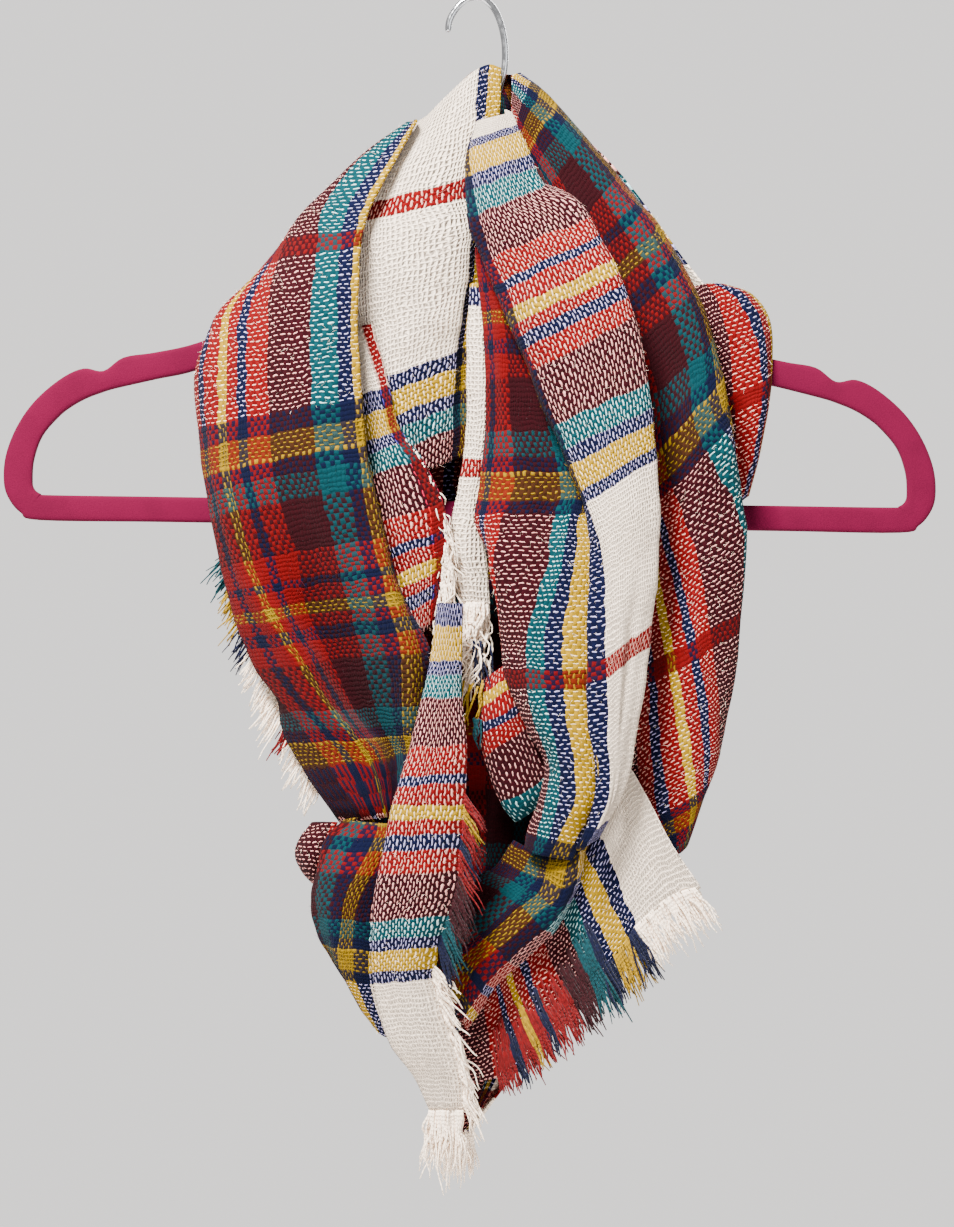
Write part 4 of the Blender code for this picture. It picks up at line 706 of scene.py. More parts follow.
class Nodes:
    """Short calls for a material's node tree."""

    def __init__(self, name):
        self.material = bpy.data.materials.new(name)
        self.material.use_nodes = True
        self.tree = self.material.node_tree
        self.shader = self.tree.nodes["Principled BSDF"]

    def add(self, kind, **values):
        node = self.tree.nodes.new(kind)
        for key, value in values.items():
            setattr(node, key, value)
        return node

    def put(self, socket, value):
        if isinstance(value, (int, float, tuple)):
            socket.default_value = value
        else:
            self.tree.links.new(value, socket)

    def math(self, kind, a, b=None, c=None, clamp=False):
        node = self.add("ShaderNodeMath", operation=kind, use_clamp=clamp)
        for socket, value in zip(node.inputs, (a, b, c)):
            if value is not None:
                self.put(socket, value)
        return node.outputs[0]

    def noise(self, vector, scale, detail=1.0, rough=0.5):
        node = self.add("ShaderNodeTexNoise")
        self.put(node.inputs["Vector"], vector)
        node.inputs["Scale"].default_value = scale
        node.inputs["Detail"].default_value = detail
        node.inputs["Roughness"].default_value = rough
        return node.outputs

    def vector(self, x, y, z=0.0):
        node = self.add("ShaderNodeCombineXYZ")
        for socket, value in zip(node.inputs, (x, y, z)):
            self.put(socket, value)
        return node.outputs[0]

    def spread(self, value, low, high, to_low=0.0, to_high=1.0, kind="SMOOTHSTEP"):
        node = self.add("ShaderNodeMapRange", interpolation_type=kind)
        for socket, number in zip(node.inputs, (value, low, high, to_low, to_high)):
            self.put(socket, number)
        return node.outputs[0]

    def blend(self, share, a, b, kind="MIX"):
        node = self.add("ShaderNodeMix", data_type="RGBA", blend_type=kind)
        self.put(node.inputs[0], share)
        self.put(node.inputs[6], a)
        self.put(node.inputs[7], b)
        return node.outputs[2]

    def stripes(self, place):
        """Colour of the thread at that place of the sett."""
        node = self.add("ShaderNodeValToRGB")
        ramp = node.color_ramp
        ramp.interpolation = "CONSTANT"
        colours = settings().yarn
        while len(ramp.elements) < len(SETT):
            ramp.elements.new(0.5)
        for element, band in zip(ramp.elements, SETT):
            element.position = band.start / REPEAT_HALF
            element.color = (*getattr(colours, band.colour), 1.0)
        folded = self.math("PINGPONG", place, REPEAT_HALF)
        self.put(node.inputs[0], self.math("DIVIDE", folded, REPEAT_HALF))
        pale = self.math("COMPARE", folded, *PALE_BAND)
        band = self.math("COMPARE", folded, *GOLD_BAND)
        gold = self.math("ADD", band, self.math("COMPARE", folded, *GOLD_LINE))
        return node.outputs[0], pale, gold

    def brightest(self, colour):
        """The same hue with its strongest channel at full."""
        parts = self.add("ShaderNodeSeparateColor")
        self.put(parts.inputs[0], colour)
        top = self.math("MAXIMUM", self.math("MAXIMUM", parts.outputs[0], parts.outputs[1]), parts.outputs[2])
        return self.vector(*(self.math("DIVIDE", parts.outputs[k], top) for k in range(3)))

    def finish(self, colour, rough, bump=None, strength=0.5, distance=0.0006):
        self.put(self.shader.inputs["Base Color"], colour)
        self.put(self.shader.inputs["Roughness"], rough)
        if bump is not None:
            node = self.add("ShaderNodeBump")
            node.inputs["Strength"].default_value = strength
            node.inputs["Distance"].default_value = distance
            self.put(node.inputs["Height"], bump)
            self.put(self.shader.inputs["Normal"], node.outputs[0])
        return self.material


def woven_finish():
    """Plain weave of the plaid, yarn by yarn, from the thread places in the UV map."""
    look = settings().cloth
    n = Nodes("woven_plaid")
    warp, weft = look.warp_pitch / MM, look.weft_pitch / MM
    uv = n.add("ShaderNodeUVMap", uv_map="threads").outputs[0]
    split = n.add("ShaderNodeSeparateXYZ")
    n.put(split.inputs[0], uv)
    wander = n.noise(uv, 0.11, 1.0)["Color"]
    tremble = n.noise(uv, 0.45, 1.0)["Color"]
    parts = n.add("ShaderNodeSeparateColor")
    n.put(parts.inputs[0], wander)
    small = n.add("ShaderNodeSeparateColor")
    n.put(small.inputs[0], tremble)

    def wobbled(place, channel, pitch):
        far = n.math("MULTIPLY", n.math("SUBTRACT", parts.outputs[channel], 0.5), 3.2)
        near = n.math("MULTIPLY", n.math("SUBTRACT", small.outputs[channel], 0.5), 1.1)
        return n.math("DIVIDE", n.math("ADD", place, n.math("ADD", far, near)), pitch)

    across = wobbled(split.outputs[0], 0, warp)
    along = wobbled(split.outputs[1], 1, weft)
    warp_at = n.math("FLOOR", across)
    weft_at = n.math("FLOOR", along)
    off_u = n.math("SUBTRACT", n.math("SUBTRACT", across, warp_at), 0.5)
    off_v = n.math("SUBTRACT", n.math("SUBTRACT", along, weft_at), 0.5)
    warp_colour, warp_pale, warp_gold = n.stripes(n.math("MULTIPLY", n.math("ADD", warp_at, 0.5), warp))
    weft_colour, weft_pale, weft_gold = n.stripes(n.math("MULTIPLY", n.math("ADD", weft_at, 0.5), weft))

    def rise(own, other, sign):
        turn = n.math("MULTIPLY", n.math("ADD", n.math("SUBTRACT", own, 0.5), other), math.pi)
        return n.math("MULTIPLY", n.math("COSINE", turn), sign)

    def yarn_height(wave, off, pale, gold, other_pale, lifts, lean):
        # Pale yarn is thinner and floats longer than dyed yarn, and yellow yarn lies between them
        golden = n.math("MULTIPLY_ADD", other_pale, -lean[3], lean[2] - lean[0] + lean[3])
        raised = n.math("MULTIPLY_ADD", other_pale, lifts[3], lifts[2] - lifts[0])
        plain = n.math("MULTIPLY_ADD", pale, lean[1] - lean[0], lean[0])
        thin = n.math("MULTIPLY_ADD", gold, golden, plain)
        sag = n.math("MULTIPLY", n.math("MULTIPLY", off, off), thin)
        floated = n.math("MULTIPLY_ADD", pale, lifts[1] - lifts[0], lifts[0])
        lift = n.math("MULTIPLY_ADD", gold, raised, floated)
        return n.math("SUBTRACT", n.math("MULTIPLY", n.math("ADD", wave, lift), 0.5), sag)

    over = rise(along, warp_at, 1.0)
    warp_up = yarn_height(over, off_u, warp_pale, warp_gold, weft_pale, WARP_LIFT, WARP_LEAN)
    under = rise(across, weft_at, -1.0)
    weft_up = yarn_height(under, off_v, weft_pale, weft_gold, warp_pale, WEFT_LIFT, WEFT_LEAN)
    apart = n.math("SUBTRACT", weft_up, warp_up)
    weft_shows = n.spread(apart, -0.12, 0.12)
    height = n.math("MAXIMUM", warp_up, weft_up)
    colour = n.blend(weft_shows, warp_colour, weft_colour)
    warp_seat = n.vector(n.math("MULTIPLY", warp_at, 3.7), n.math("MULTIPLY", split.outputs[1], 0.09))
    shade_w = n.noise(warp_seat, 1.0, 1.0)[0]
    weft_seat = n.vector(n.math("MULTIPLY", split.outputs[0], 0.09), n.math("MULTIPLY", weft_at, 3.1), 7.0)
    shade_f = n.noise(weft_seat, 1.0, 1.0)[0]
    tone = n.math("ADD", n.math("MULTIPLY", shade_w, 0.5), n.math("MULTIPLY", shade_f, 0.5))
    lit = n.spread(tone, 0.25, 0.75, 0.80, 1.18, "LINEAR")
    both_pale = n.math("MULTIPLY", n.math("ADD", warp_pale, warp_gold), n.math("ADD", weft_pale, weft_gold))
    # Painted shade in the hollows: the cloth darkens where the yarns lie low between their crossings, less
    # where two pale or yellow yarns cross
    painted_gap_shade = n.math("MAXIMUM", n.spread(height, -1.6, 0.35, 0.40, 1.0), n.math("MULTIPLY", both_pale, 0.82))
    dyed = n.math("MULTIPLY", n.math("SUBTRACT", 1.0, warp_pale), n.math("SUBTRACT", 1.0, weft_pale))
    pale_shows = n.math("MULTIPLY_ADD", n.math("SUBTRACT", weft_pale, warp_pale), weft_shows, warp_pale)
    mixed_pale = n.math("MULTIPLY", pale_shows, n.math("SUBTRACT", 1.0, both_pale))
    # Painted shade on dyed-on-dyed cloth, times a darkening of pale strokes where they cross dyed yarn
    painted_shade_and_dim = n.math("MULTIPLY_ADD", dyed, -DYED_PAINTED_SHADE, n.math("MULTIPLY_ADD", mixed_pale, -MIXED_DIM, 1.0))
    # Random yarn tone times the painted shade
    tone_and_painted_shade = n.math("MULTIPLY", n.math("MULTIPLY", lit, painted_gap_shade), painted_shade_and_dim)
    shown = n.blend(1.0, colour, n.vector(tone_and_painted_shade, tone_and_painted_shade, tone_and_painted_shade), "MULTIPLY")
    both = n.blend(0.5, warp_colour, weft_colour)
    fibre = n.noise(uv, 2.6, 3.0, 0.7)[0]
    # Pale strokes take a bright tint of the yarn that they cross
    crossed = n.blend(weft_shows, weft_colour, warp_colour)
    tint = n.brightest(crossed)
    loose = n.spread(fibre, 0.3, 0.7, 0.6, 1.4, "LINEAR")
    shown = n.blend(n.math("MULTIPLY", n.math("MULTIPLY", pale_shows, PALE_TINT), loose), shown, tint)
    shown = n.blend(n.math("MULTIPLY", n.math("MULTIPLY", dyed, DYED_HAZE), loose), shown, both)
    fine = n.noise(uv, 5.5, 2.0, 0.6)[0]
    bump = n.math("ADD", height, n.math("MULTIPLY", fine, 0.35))
    n.shader.inputs["Sheen Weight"].default_value = 0.02
    n.shader.inputs["Sheen Roughness"].default_value = 0.55
    n.shader.inputs["Specular IOR Level"].default_value = 0.06
    return n.finish(shown, 0.88, bump, 0.75, 0.0007)


def yarn_finish():
    """Loose twisted yarn and fuzz, coloured by the thread place in the UV map."""
    n = Nodes("loose_yarn")
    uv = n.add("ShaderNodeUVMap", uv_map="threads").outputs[0]
    split = n.add("ShaderNodeSeparateXYZ")
    n.put(split.inputs[0], uv)
    colour = n.stripes(split.outputs[0])[0]
    twist = n.math("SINE", n.math("MULTIPLY", split.outputs[1], 3.4))
    mottle = n.noise(uv, 0.8, 2.0)[0]
    # Painted shade and light: the colour darkens and lightens in bands along the twist of the plies, over a
    # random mottle
    tone_and_painted_shade = n.math("ADD", n.math("MULTIPLY", twist, 0.07), n.spread(mottle, 0.3, 0.7, 0.82, 1.1, "LINEAR"))
    shown = n.blend(1.0, colour, n.vector(tone_and_painted_shade, tone_and_painted_shade, tone_and_painted_shade), "MULTIPLY")
    n.shader.inputs["Sheen Weight"].default_value = 0.08
    n.shader.inputs["Sheen Roughness"].default_value = 0.5
    n.shader.inputs["Specular IOR Level"].default_value = 0.15
    return n.finish(shown, 0.9, twist, 0.4, 0.0003)


def velvet_finish():
    """Short magenta flocking with a soft sheen and faint brushed patches."""
    look = settings().hanger
    n = Nodes("magenta_velvet")
    where = n.add("ShaderNodeTexCoord").outputs["Object"]
    patch = n.noise(where, 60.0, 3.0)[0]
    nap = n.noise(where, 1400.0, 3.0, 0.7)[0]
    base = (*look.velvet, 1.0)
    dark = (*(0.85 * c for c in look.velvet), 1.0)
    tone = n.math("ADD", n.math("MULTIPLY", patch, 0.6), n.math("MULTIPLY", nap, 0.4))
    shown = n.blend(n.spread(tone, 0.35, 0.6), dark, base)
    n.shader.inputs["Sheen Weight"].default_value = 0.10
    n.shader.inputs["Sheen Roughness"].default_value = 0.35
    n.shader.inputs["Sheen Tint"].default_value = (1.0, 0.55, 0.75, 1.0)
    n.shader.inputs["Specular IOR Level"].default_value = 0.12
    return n.finish(shown, 0.92, nap, 0.5, 0.0003)


def wire_finish():
    """Polished plated wire with faint drawn lines."""
    n = Nodes("plated_wire")
    where = n.add("ShaderNodeTexCoord").outputs["Object"]
    smear = n.noise(where, 300.0, 2.0)[0]
    n.shader.inputs["Metallic"].default_value = 1.0
    shown = n.blend(smear, (0.50, 0.52, 0.55, 1.0), (0.78, 0.79, 0.81, 1.0))
    return n.finish(shown, n.spread(smear, 0.3, 0.7, 0.12, 0.26), smear, 0.15, 0.0002)


def plain_finish(name, colour, rough):
    n = Nodes(name)
    where = n.add("ShaderNodeTexCoord").outputs["Object"]
    cloud = n.noise(where, 3.0, 2.0)[0]
    shown = n.blend(cloud, (*colour, 1.0), (*(0.97 * c for c in colour), 1.0))
    return n.finish(shown, rough)


def glow_finish(name, colour, strength):
    n = Nodes(name)
    n.shader.inputs["Emission Color"].default_value = (*colour, 1.0)
    n.shader.inputs["Emission Strength"].default_value = strength
    return n.finish((0.0, 0.0, 0.0, 1.0), 1.0)


def tube(path, radii, sides=YARN_SIDES):
    """Points and faces of a tube along a path."""
    path = np.array(path)
    ahead = np.gradient(path, axis=0)
    ahead /= np.linalg.norm(ahead, axis=1, keepdims=True)
    side = np.cross(ahead, (0.0, 1.0, 0.05))
    side /= np.linalg.norm(side, axis=1, keepdims=True)
    over = np.cross(side, ahead)
    points = []
    faces = []
    for at, a, b, r in zip(path, side, over, radii):
        for k in range(sides):
            turn = 2 * math.pi * k / sides
            points.append(at + r * (math.cos(turn) * a + math.sin(turn) * b))
    for i in range(len(path) - 1):
        for k in range(sides):
            m = (k + 1) % sides
            faces.append(((i + 1) * sides + k, (i + 1) * sides + m, i * sides + m, i * sides + k))
    faces.append(tuple(range(sides)))
    last = (len(path) - 1) * sides
    faces.append(tuple(last + k for k in range(sides - 1, -1, -1)))
    return points, faces


class Yarns:
    """Many loose yarns gathered into one mesh."""

    def __init__(self, seed):
        self.points, self.faces, self.uvs = [], [], []
        self.rng = np.random.default_rng(seed)

    def strand(self, root, reach, key, thick, curl=1.0, lead=(), phase=None):
        rng = self.rng
        length = np.linalg.norm(reach)
        steps = 7 if curl < 1.4 else 10
        sway = rng.normal(0, 1, 3) * 0.06 * length * curl
        wave = rng.normal(0, 1, 3) * 0.030 * length * curl
        wave[0] += 0.055 * length * (curl - 1.0)
        turns = 4.0 + 2.5 * curl
        phase = rng.uniform(0, 6.28) if phase is None else phase + rng.normal(0, 0.5)
        path = list(lead)
        for k in range(steps + 1):
            t = k / steps
            drop = np.array((0.0, 0.0, -0.10 * length * t * t))
            curled = wave * math.sin(turns * t + phase) * min(1.0, 2.0 * t)
            path.append(root + reach * t + sway * t * t + curled + drop)
        radii = [thick] * len(lead) + [thick * (1.0 - 0.55 * (k / steps) ** 2) for k in range(steps + 1)]
        points, faces = tube(path, radii)
        base = len(self.points)
        self.points.extend(points)
        self.faces.extend(tuple(base + k for k in face) for face in faces)
        self.uvs.extend((key, length * (n // YARN_SIDES) / steps) for n in range(len(points)))

    def build(self, name, finish):
        return new_object(name, self.points, self.faces, self.uvs, finish)


def edge_line(outer, uv, side):
    """Root points along one edge, the way out of the cloth, its normal and the thread places."""
    normal = outward(outer)
    middle = outer - 0.5 * settings().cloth.thickness / MM * normal
    if side == "bottom":
        root, before, normals, threads = middle[-1], middle[-3], normal[-1], uv[-1]
    else:
        root, before, normals, threads = middle[:, -1], middle[:, -3], normal[:, -1], uv[:, -1]
    out = root - before
    return root, out / np.linalg.norm(out, axis=1, keepdims=True), normals, threads


def at_share(line, share):
    where = share * (len(line) - 1)
    low = min(int(where), len(line) - 2)
    return line[low] + (line[low + 1] - line[low]) * (where - low)


def key_of(fringe, threads, way):
    if fringe.keys in KEY:
        return KEY[fringe.keys]
    if fringe.keys == "u":
        return threads[0]
    if fringe.keys == "v":
        return threads[1]
    return KEY[[name for start, name in BACK_KEYS if way >= start][-1]]


def hang_fringe(fringe, cloth, seed, finish):
    """Fine yarn ends from the cloth's edge, over the space of the solid strands."""
    outer, uv = cloth
    root, out, normals, threads = edge_line(outer, uv, fringe.side)
    yarns = Yarns(seed)
    rng = yarns.rng
    thick = settings().fringe.thickness / MM / 2
    for i in range(fringe.count):
        way = (i + 0.5 + rng.uniform(-0.3, 0.3)) / fringe.count
        share = fringe.start + (fringe.end - fringe.start) * way
        at = at_share(root, share) + 0.5 * rng.normal() * at_share(normals, share)
        reach = np.array(fringe.reach_a) * (1 - way) + np.array(fringe.reach_b) * way
        reach = np.array((reach[0], reach[2], reach[1])) * rng.uniform(0.72, 1.08)
        reach += rng.normal(0, 0.09, 3) * np.linalg.norm(reach)
        key = key_of(fringe, at_share(threads, share), way)
        lead = []
        if fringe.lead and share < 0.62:
            first = int((1.0 - fringe.lead * rng.uniform(0.1, 1.0)) * (len(outer) - 1))
            for row in range(first, len(outer) - 2, 2):
                lead.append(at_share(outer[row], share) + rng.uniform(0.3, 1.3) * at_share(normals, share))
        at = at + 0.5 * at_share(normals, share) if lead else at
        phase = 0.35 * i if fringe.curl > 1.0 else None
        own_thick = thick * rng.uniform(0.8, 1.2)
        yarns.strand(at - at_share(out, share), reach, key, own_thick, fringe.curl, lead, phase)
    obj = yarns.build(fringe.name + "_yarns", finish)
    place(obj, "scarf_fringe", fringe.name)
    return obj


def tilted(across, height):
    """A point of the level hanger, moved to where the tilted one hangs."""
    return HANGER_MIDDLE + across, height - HANGER_TILT * across


def hanger_loops():
    """The outside and inside outlines, paired, from the middle of the arms round by the right."""
    half = [((x, top), (x, low)) for x, top, low in ARM_HALF]
    half += list(END_HALF)
    half += [((x, BAR_BOTTOM), (x, BAR_TOP)) for x in BAR_STEPS]
    whole = half + [((-a[0], a[1]), (-b[0], b[1])) for a, b in half[-2:0:-1]]
    return np.array([(tilted(*a), tilted(*b)) for a, b in whole])


def smooth_loop(net, steps):
    """As smooth_along, for a closed ring."""
    padded = np.concatenate([net[-1:], net, net[:2]])
    return smooth_along(padded, steps)[steps:-steps - 1]


def add_hanger_body():
    loops = smooth_loop(hanger_loops(), 5)
    sides = 20
    points = []
    for outer, inner in loops:
        middle = 0.5 * (outer + inner)
        half = 0.5 * (outer - inner)
        for k in range(sides):
            turn = 2 * math.pi * k / sides
            c, s = math.cos(turn), math.sin(turn)
            a = math.copysign(abs(c) ** HANGER_SQUARE, c)
            b = math.copysign(abs(s) ** HANGER_SQUARE, s)
            at = middle + half * a
            points.append((at[0], -HANGER_HALF_DEPTH * HANGER_SWELL * b, at[1]))
    count = len(loops)
    faces = []
    for i in range(count):
        k = (i + 1) % count
        for j in range(sides):
            m = (j + 1) % sides
            faces.append((sides * i + j, sides * i + m, sides * k + m, sides * k + j))
    obj = new_object("hanger_body_velvet", points, faces, None, velvet_finish())
    place(obj, "hanger_velvet", "hanger_body")


def add_hanger_hook():
    path = smooth_along(np.array([(x, 0.0, z) for x, z in HOOK_PATH]), 8)
    radii = np.full(len(path), HOOK_RADIUS)
    for k, share in enumerate((0.45, 0.78, 0.93)):
        radii[k] *= share
    points, faces = tube(path, radii, 20)
    obj = new_object("hanger_hook_wire", points, faces, None, wire_finish())
    place(obj, "hook_wire", "hanger_hook")


TUFTS = (
    Tuft(1.0, -306.0, -27.0, (3, -3, -20), 9, 3.0, "navy"),
    Tuft(-1.5, -326.0, -34.0, (-3, -3, -15), 7, 3.0, "mustard"),
    Tuft(-1.0, -343.0, -35.0, (-1, -2, -11), 6, 2.5, "teal"),
    Tuft(-19.0, -522.0, -38.0, (-1, -1, -16), 4, 1.2, "red"),
)


def add_tufts(finish):
    """Stray yarn ends between the front folds, seated on the cloth behind them."""
    yarns = Yarns(TUFT_SEED)
    thick = settings().fringe.thickness / MM / 2
    for tuft in TUFTS:
        for _ in range(tuft.count):
            stray = yarns.rng.normal(0, 1, 3) * (tuft.spread, 0.6, tuft.spread * 0.4)
            root = true_place(tuft.x, tuft.z, tuft.y) + stray
            reach = np.array(tuft.reach, float) * yarns.rng.uniform(0.7, 1.15)
            yarns.strand(root, reach + yarns.rng.normal(0, 1.6, 3), KEY[tuft.key], thick, 1.3)
    obj = yarns.build("stray_yarn_tufts", finish)
    place(obj, "scarf_fringe")


def add_nap(name, cloths, finish, seed, each):
    """Short loose fibres that stand off the cloth, each a closed needle."""
    rng = np.random.default_rng(seed)
    points, faces, uvs = [], [], []
    for outer, uv in cloths:
        normal = outward(outer)
        cells = np.linalg.norm(
            np.cross(outer[1:, :-1] - outer[:-1, :-1], outer[:-1, 1:] - outer[:-1, :-1]), axis=2
        )
        rows, cols = cells.shape
        count = int(cells.sum() / each)
        chosen = rng.choice(rows * cols, size=count, p=(cells / cells.sum()).ravel())
        for cell in chosen:
            i, j = divmod(int(cell), cols)
            a, b = rng.uniform(0, 1, 2)
            at = outer[i, j] + a * (outer[i + 1, j] - outer[i, j]) + b * (outer[i, j + 1] - outer[i, j])
            key = uv[i, j] + a * (uv[i + 1, j] - uv[i, j]) + b * (uv[i, j + 1] - uv[i, j])
            n = normal[i, j]
            drift = rng.normal(0, 1, 3)
            drift -= n * np.dot(drift, n)
            drift /= np.linalg.norm(drift)
            width = 0.06 * np.cross(n, drift)
            long = rng.uniform(1.2, 3.0)
            tip = at + long * (drift + rng.normal(0, 0.25, 3)) + rng.uniform(0.3, 1.3) * n
            base = len(points)
            points.extend((at - width - 0.2 * n, at + width - 0.2 * n, at - 0.1 * n - 0.1 * drift, tip))
            faces.extend(tuple(base + corner for corner in side) for side in NEEDLE_SIDES)
            place_u = float(key[0] if rng.uniform() < 0.5 else key[1])
            uvs.extend([(place_u, long)] * 4)
    obj = new_object(name, points, faces, uvs, finish, False)
    place(obj, "scarf_fringe")


class ScarfCloth(bpy.types.PropertyGroup):
    thickness: FloatProperty(
        name="Cloth thickness", description="Thickness of the woven cloth", default=0.0014, min=0.0005,
        max=0.002, unit="LENGTH", precision=4,
    )
    warp_pitch: FloatProperty(
        name="Warp pitch", description="Distance between warp yarns", default=0.00185, min=0.0008, max=0.004,
        unit="LENGTH", precision=5,
    )
    weft_pitch: FloatProperty(
        name="Weft pitch", description="Distance between weft yarns", default=0.00225, min=0.0008, max=0.004,
        unit="LENGTH", precision=5,
    )
    unevenness: FloatProperty(
        name="Unevenness", description="Soft bumps of the cloth outwards, in millimetres", default=0.9,
        min=0.0, max=2.0,
    )


class ScarfYarn(bpy.types.PropertyGroup):
    cream: FloatVectorProperty(
        name="Cream", description="Pale ground yarn", default=(0.95, 0.78, 0.62), subtype="COLOR", min=0,
        max=1,
    )
    navy: FloatVectorProperty(
        name="Navy", description="Dark blue yarn", default=(0.0007, 0.002, 0.017), subtype="COLOR", min=0,
        max=1,
    )
    mustard: FloatVectorProperty(
        name="Mustard", description="Yellow yarn", default=(0.26, 0.150, 0.0), subtype="COLOR", min=0, max=1,
    )
    teal: FloatVectorProperty(
        name="Teal", description="Blue green yarn", default=(0.0, 0.032, 0.040), subtype="COLOR", min=0,
        max=1,
    )
    maroon: FloatVectorProperty(
        name="Maroon", description="Dark wine yarn", default=(0.019, 0.0, 0.0018), subtype="COLOR", min=0,
        max=1,
    )
    red: FloatVectorProperty(
        name="Red", description="Bright red yarn", default=(0.12, 0.0, 0.001), subtype="COLOR", min=0, max=1,
    )


class ScarfFringe(bpy.types.PropertyGroup):
    thickness: FloatProperty(
        name="Yarn thickness", description="Thickness of a loose yarn end", default=0.0011, min=0.0004,
        max=0.003, unit="LENGTH", precision=4,
    )
    nap_area: FloatProperty(
        name="Area of a fibre", description="Square millimetres of cloth for each loose fibre", default=13.0,
        min=4.0, max=200.0,
    )


class HangerLook(bpy.types.PropertyGroup):
    velvet: FloatVectorProperty(
        name="Velvet", description="Colour of the flocking", default=(0.085, 0.0, 0.017), subtype="COLOR",
        min=0, max=1,
    )


class StageLook(bpy.types.PropertyGroup):
    backdrop: FloatVectorProperty(
        name="Backdrop", description="Colour of the floor and the air round the scarf",
        default=(0.95, 0.925, 0.91), subtype="COLOR", min=0, max=1,
    )
    key_power: FloatProperty(
        name="Key light", description="Power of the soft key light", default=170.0, min=0.0, max=400.0,
        unit="POWER",
    )
    fill_power: FloatProperty(
        name="Fill light", description="Power of the soft fill light", default=8.0, min=0.0, max=400.0,
        unit="POWER",
    )


class PlaidScarf(bpy.types.PropertyGroup):
    cloth: PointerProperty(type=ScarfCloth)
    yarn: PointerProperty(type=ScarfYarn)
    fringe: PointerProperty(type=ScarfFringe)
    hanger: PointerProperty(type=HangerLook)
    stage: PointerProperty(type=StageLook)


FRONT = (
    LEFT_LOBE, LEFT_TURNED_EDGE, CREAM_PANEL, CENTRE_STRIP, RIGHT_STRAND, OPENED_FOLD, FOLD_ROLL, LEFT_STRAND,
    LOW_LEFT_FOLD, SMALL_ROLL, CENTRE_BAND, RIGHT_TAIL, RIGHT_LOBE, RIGHT_SHOULDER,
)
CLOTHS = {}
FRINGE_OF = {}


def finish_named(name, maker):
    return bpy.data.materials.get(name) or maker()


def drape_all(stretches):
    finish = finish_named("woven_plaid", woven_finish)
    for stretch in stretches:
        obj, outer, uv = drape(stretch, finish)
        CLOTHS[stretch.name] = (obj, outer, uv)


class PLAID_OT_front_stretches(bpy.types.Operator):
    """Drape the stretches of scarf that show from the front"""

    bl_idname = "plaid_scarf.front_stretches"
    bl_label = "Front stretches"

    def execute(self, context):
        drape_all(FRONT)
        return {"FINISHED"}


class PLAID_OT_back_panel(bpy.types.Operator):
    """Drape the panel behind the hanger"""

    bl_idname = "plaid_scarf.back_panel"
    bl_label = "Back panel"

    def execute(self, context):
        drape_all((BACK_PANEL,))
        return {"FINISHED"}


class PLAID_OT_fringes(bpy.types.Operator):
    """Hang the yarn ends from the cloth's edges and list each stretch's fringes"""

    bl_idname = "plaid_scarf.fringes"
    bl_label = "Fringes"

    def execute(self, context):
        finish = finish_named("loose_yarn", yarn_finish)
        for seed, fringe in enumerate(FRINGES, FRINGE_SEED):
            _, outer, uv = CLOTHS[fringe.cloth]
            yarns = hang_fringe(fringe, (outer, uv), seed, finish)
            FRINGE_OF.setdefault(fringe.cloth, []).append(yarns)
        add_tufts(finish)
        return {"FINISHED"}


class PLAID_OT_nap(bpy.types.Operator):
    """Lift loose fibres off the cloth"""

    bl_idname = "plaid_scarf.nap"
    bl_label = "Nap"

    def execute(self, context):
        finish = finish_named("loose_yarn", yarn_finish)
        each = settings().fringe.nap_area
        front = [(outer, uv) for name, (_, outer, uv) in CLOTHS.items() if name != "back_panel"]
        back = [(outer, uv) for name, (_, outer, uv) in CLOTHS.items() if name == "back_panel"]
        add_nap("front_nap", front, finish, FRONT_NAP_SEED, each)
        add_nap("back_nap", back, finish, BACK_NAP_SEED, 2.0 * each)
        return {"FINISHED"}


class PLAID_OT_hanger_body(bpy.types.Operator):
    """Shape the hanger's velvet-covered ring"""

    bl_idname = "plaid_scarf.hanger_body"
    bl_label = "Hanger"

    def execute(self, context):
        add_hanger_body()
        return {"FINISHED"}


class PLAID_OT_hanger_hook(bpy.types.Operator):
    """Bend the hanger's wire hook"""

    bl_idname = "plaid_scarf.hanger_hook"
    bl_label = "Hook"

    def execute(self, context):
        add_hanger_hook()
        return {"FINISHED"}


def area_light(name, place_at, target, size, power, colour):
    data = bpy.data.lights.new(name, "AREA")
    data.shape = "RECTANGLE"
    data.size, data.size_y = size
    data.energy = power
    data.color = colour
    obj = bpy.data.objects.new(name, data)
    bpy.context.scene.collection.objects.link(obj)
    obj.location = place_at
    obj.rotation_euler = (Vector(target) - Vector(place_at)).to_track_quat("-Z", "Y").to_euler()


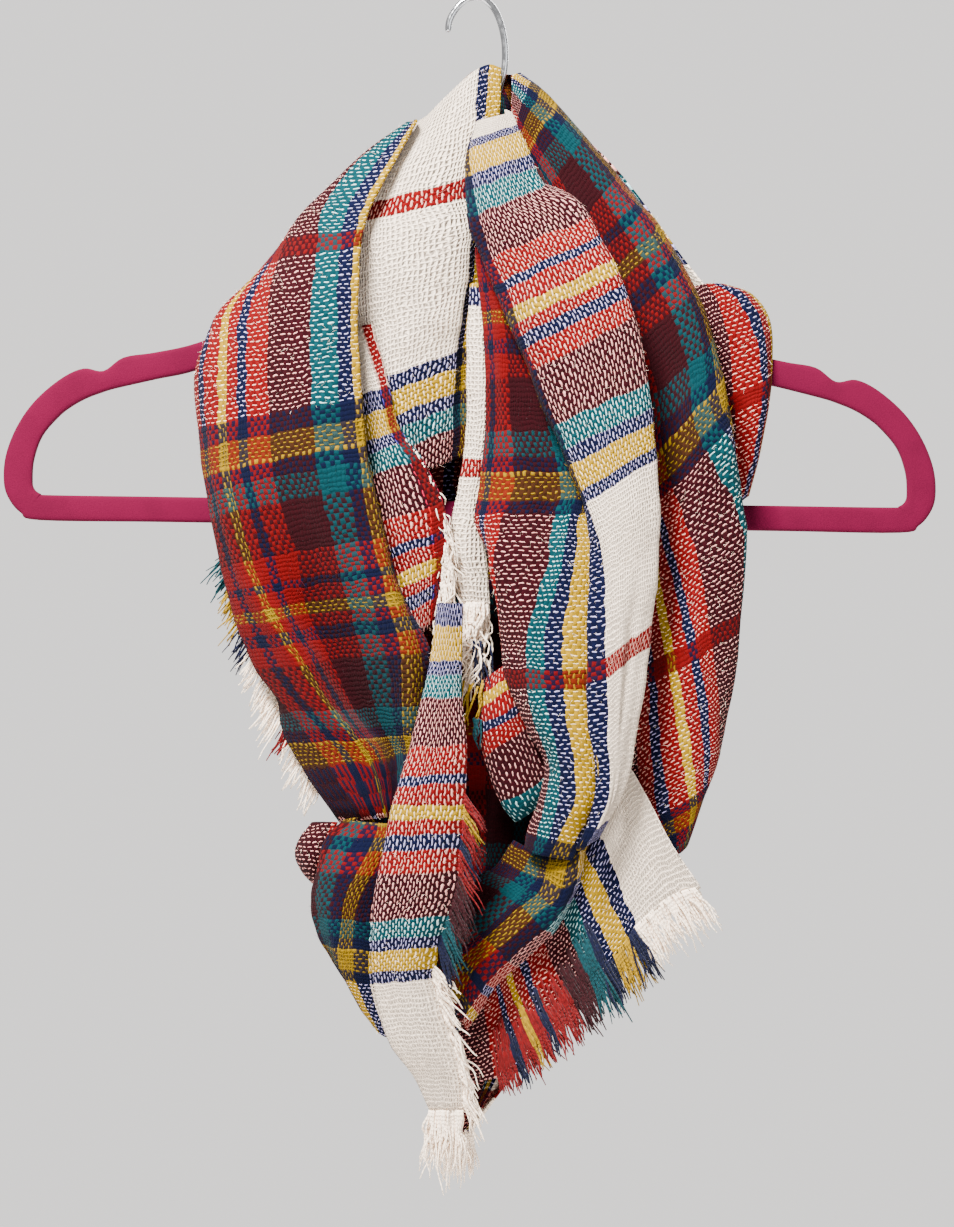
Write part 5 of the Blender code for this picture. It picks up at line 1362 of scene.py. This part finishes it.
class PLAID_OT_stage(bpy.types.Operator):
    """Set the pale floor, the soft lights and the camera"""

    bl_idname = "plaid_scarf.stage"
    bl_label = "Stage"

    def execute(self, context):
        look = settings().stage
        mesh = bpy.data.meshes.new("pale_floor")
        turns = [k * math.pi / (FLOOR_SIDES // 2) for k in range(FLOOR_SIDES)]
        ring = [(FLOOR_RADIUS * math.cos(t), FLOOR_RADIUS * math.sin(t), FLOOR_HEIGHT) for t in turns]
        mesh.from_pydata(ring, [], [tuple(range(FLOOR_SIDES))])
        mesh.materials.append(plain_finish("pale_floor_paint", look.backdrop, 0.7))
        floor = bpy.data.objects.new("pale_floor", mesh)
        context.scene.collection.objects.link(floor)
        card = bpy.data.meshes.new("pale_backdrop")
        low = [(-CARD_HALF, CARD_BACK, CARD_LOW), (CARD_HALF, CARD_BACK, CARD_LOW)]
        top = [(CARD_HALF, CARD_BACK, CARD_TOP), (-CARD_HALF, CARD_BACK, CARD_TOP)]
        card.from_pydata(low + top, [], [(0, 1, 2, 3)])
        card.materials.append(glow_finish("backdrop_glow", look.backdrop, CARD_GLOW))
        backdrop = bpy.data.objects.new("pale_backdrop", card)
        context.scene.collection.objects.link(backdrop)
        world = bpy.data.worlds.new("soft_air")
        world.use_nodes = True
        air = world.node_tree.nodes["Background"]
        air.inputs["Color"].default_value = (*look.backdrop, 1.0)
        air.inputs["Strength"].default_value = AIR_STRENGTH
        context.scene.world = world
        area_light("soft_key", (-0.45, -0.95, 0.95), MIDDLE, (0.42, 0.34), look.key_power, (1.0, 0.985, 0.96))
        area_light("soft_fill", (1.15, -1.1, -0.1), MIDDLE, (0.9, 1.1), look.fill_power, (0.96, 0.98, 1.0))
        back_power = BACK_LIGHT_SHARE * look.fill_power
        area_light("soft_back", (0.3, 1.5, 0.6), MIDDLE, (1.0, 0.8), back_power, (1.0, 1.0, 1.0))
        data = bpy.data.cameras.new("photo_camera")
        data.sensor_fit = "VERTICAL"
        data.sensor_height = 36.0
        data.lens = CAMERA_LENS
        camera = bpy.data.objects.new("photo_camera", data)
        context.scene.collection.objects.link(camera)
        camera.location = CAMERA_PLACE
        camera.rotation_euler = (math.pi / 2, 0.0, 0.0)
        context.scene.camera = camera
        return {"FINISHED"}


class PLAID_PT_panel(bpy.types.Panel):
    """Lists the scarf's pieces and their sizes and colours"""

    bl_idname = "PLAID_PT_panel"
    bl_label = "Plaid Scarf"
    bl_space_type = "VIEW_3D"
    bl_region_type = "UI"
    bl_category = "Plaid Scarf"

    def draw(self, context):
        scarf = context.scene.plaid_scarf
        column = self.layout.column()
        for group in (scarf.cloth, scarf.yarn, scarf.fringe, scarf.hanger, scarf.stage):
            for name in group.bl_rna.properties.keys():
                if name not in ("rna_type", "name"):
                    column.prop(group, name)
            column.separator()
        for operator in OPERATORS:
            column.operator(operator.bl_idname)


OPERATORS = (
    PLAID_OT_front_stretches, PLAID_OT_back_panel, PLAID_OT_hanger_body, PLAID_OT_hanger_hook,
    PLAID_OT_fringes, PLAID_OT_nap, PLAID_OT_stage,
)
CLASSES = (ScarfCloth, ScarfYarn, ScarfFringe, HangerLook, StageLook, PlaidScarf, *OPERATORS, PLAID_PT_panel)


def register():
    for kind in CLASSES:
        bpy.utils.register_class(kind)
    bpy.types.Scene.plaid_scarf = PointerProperty(type=PlaidScarf)


def unregister():
    del bpy.types.Scene.plaid_scarf
    for kind in reversed(CLASSES):
        bpy.utils.unregister_class(kind)


def main():
    register()
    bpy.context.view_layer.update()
    bpy.ops.plaid_scarf.front_stretches()
    bpy.ops.plaid_scarf.back_panel()
    bpy.ops.plaid_scarf.hanger_body()
    bpy.ops.plaid_scarf.hanger_hook()
    bpy.ops.plaid_scarf.fringes()
    bpy.ops.plaid_scarf.nap()
    bpy.ops.plaid_scarf.stage()


if __name__ == "__main__":
    main()
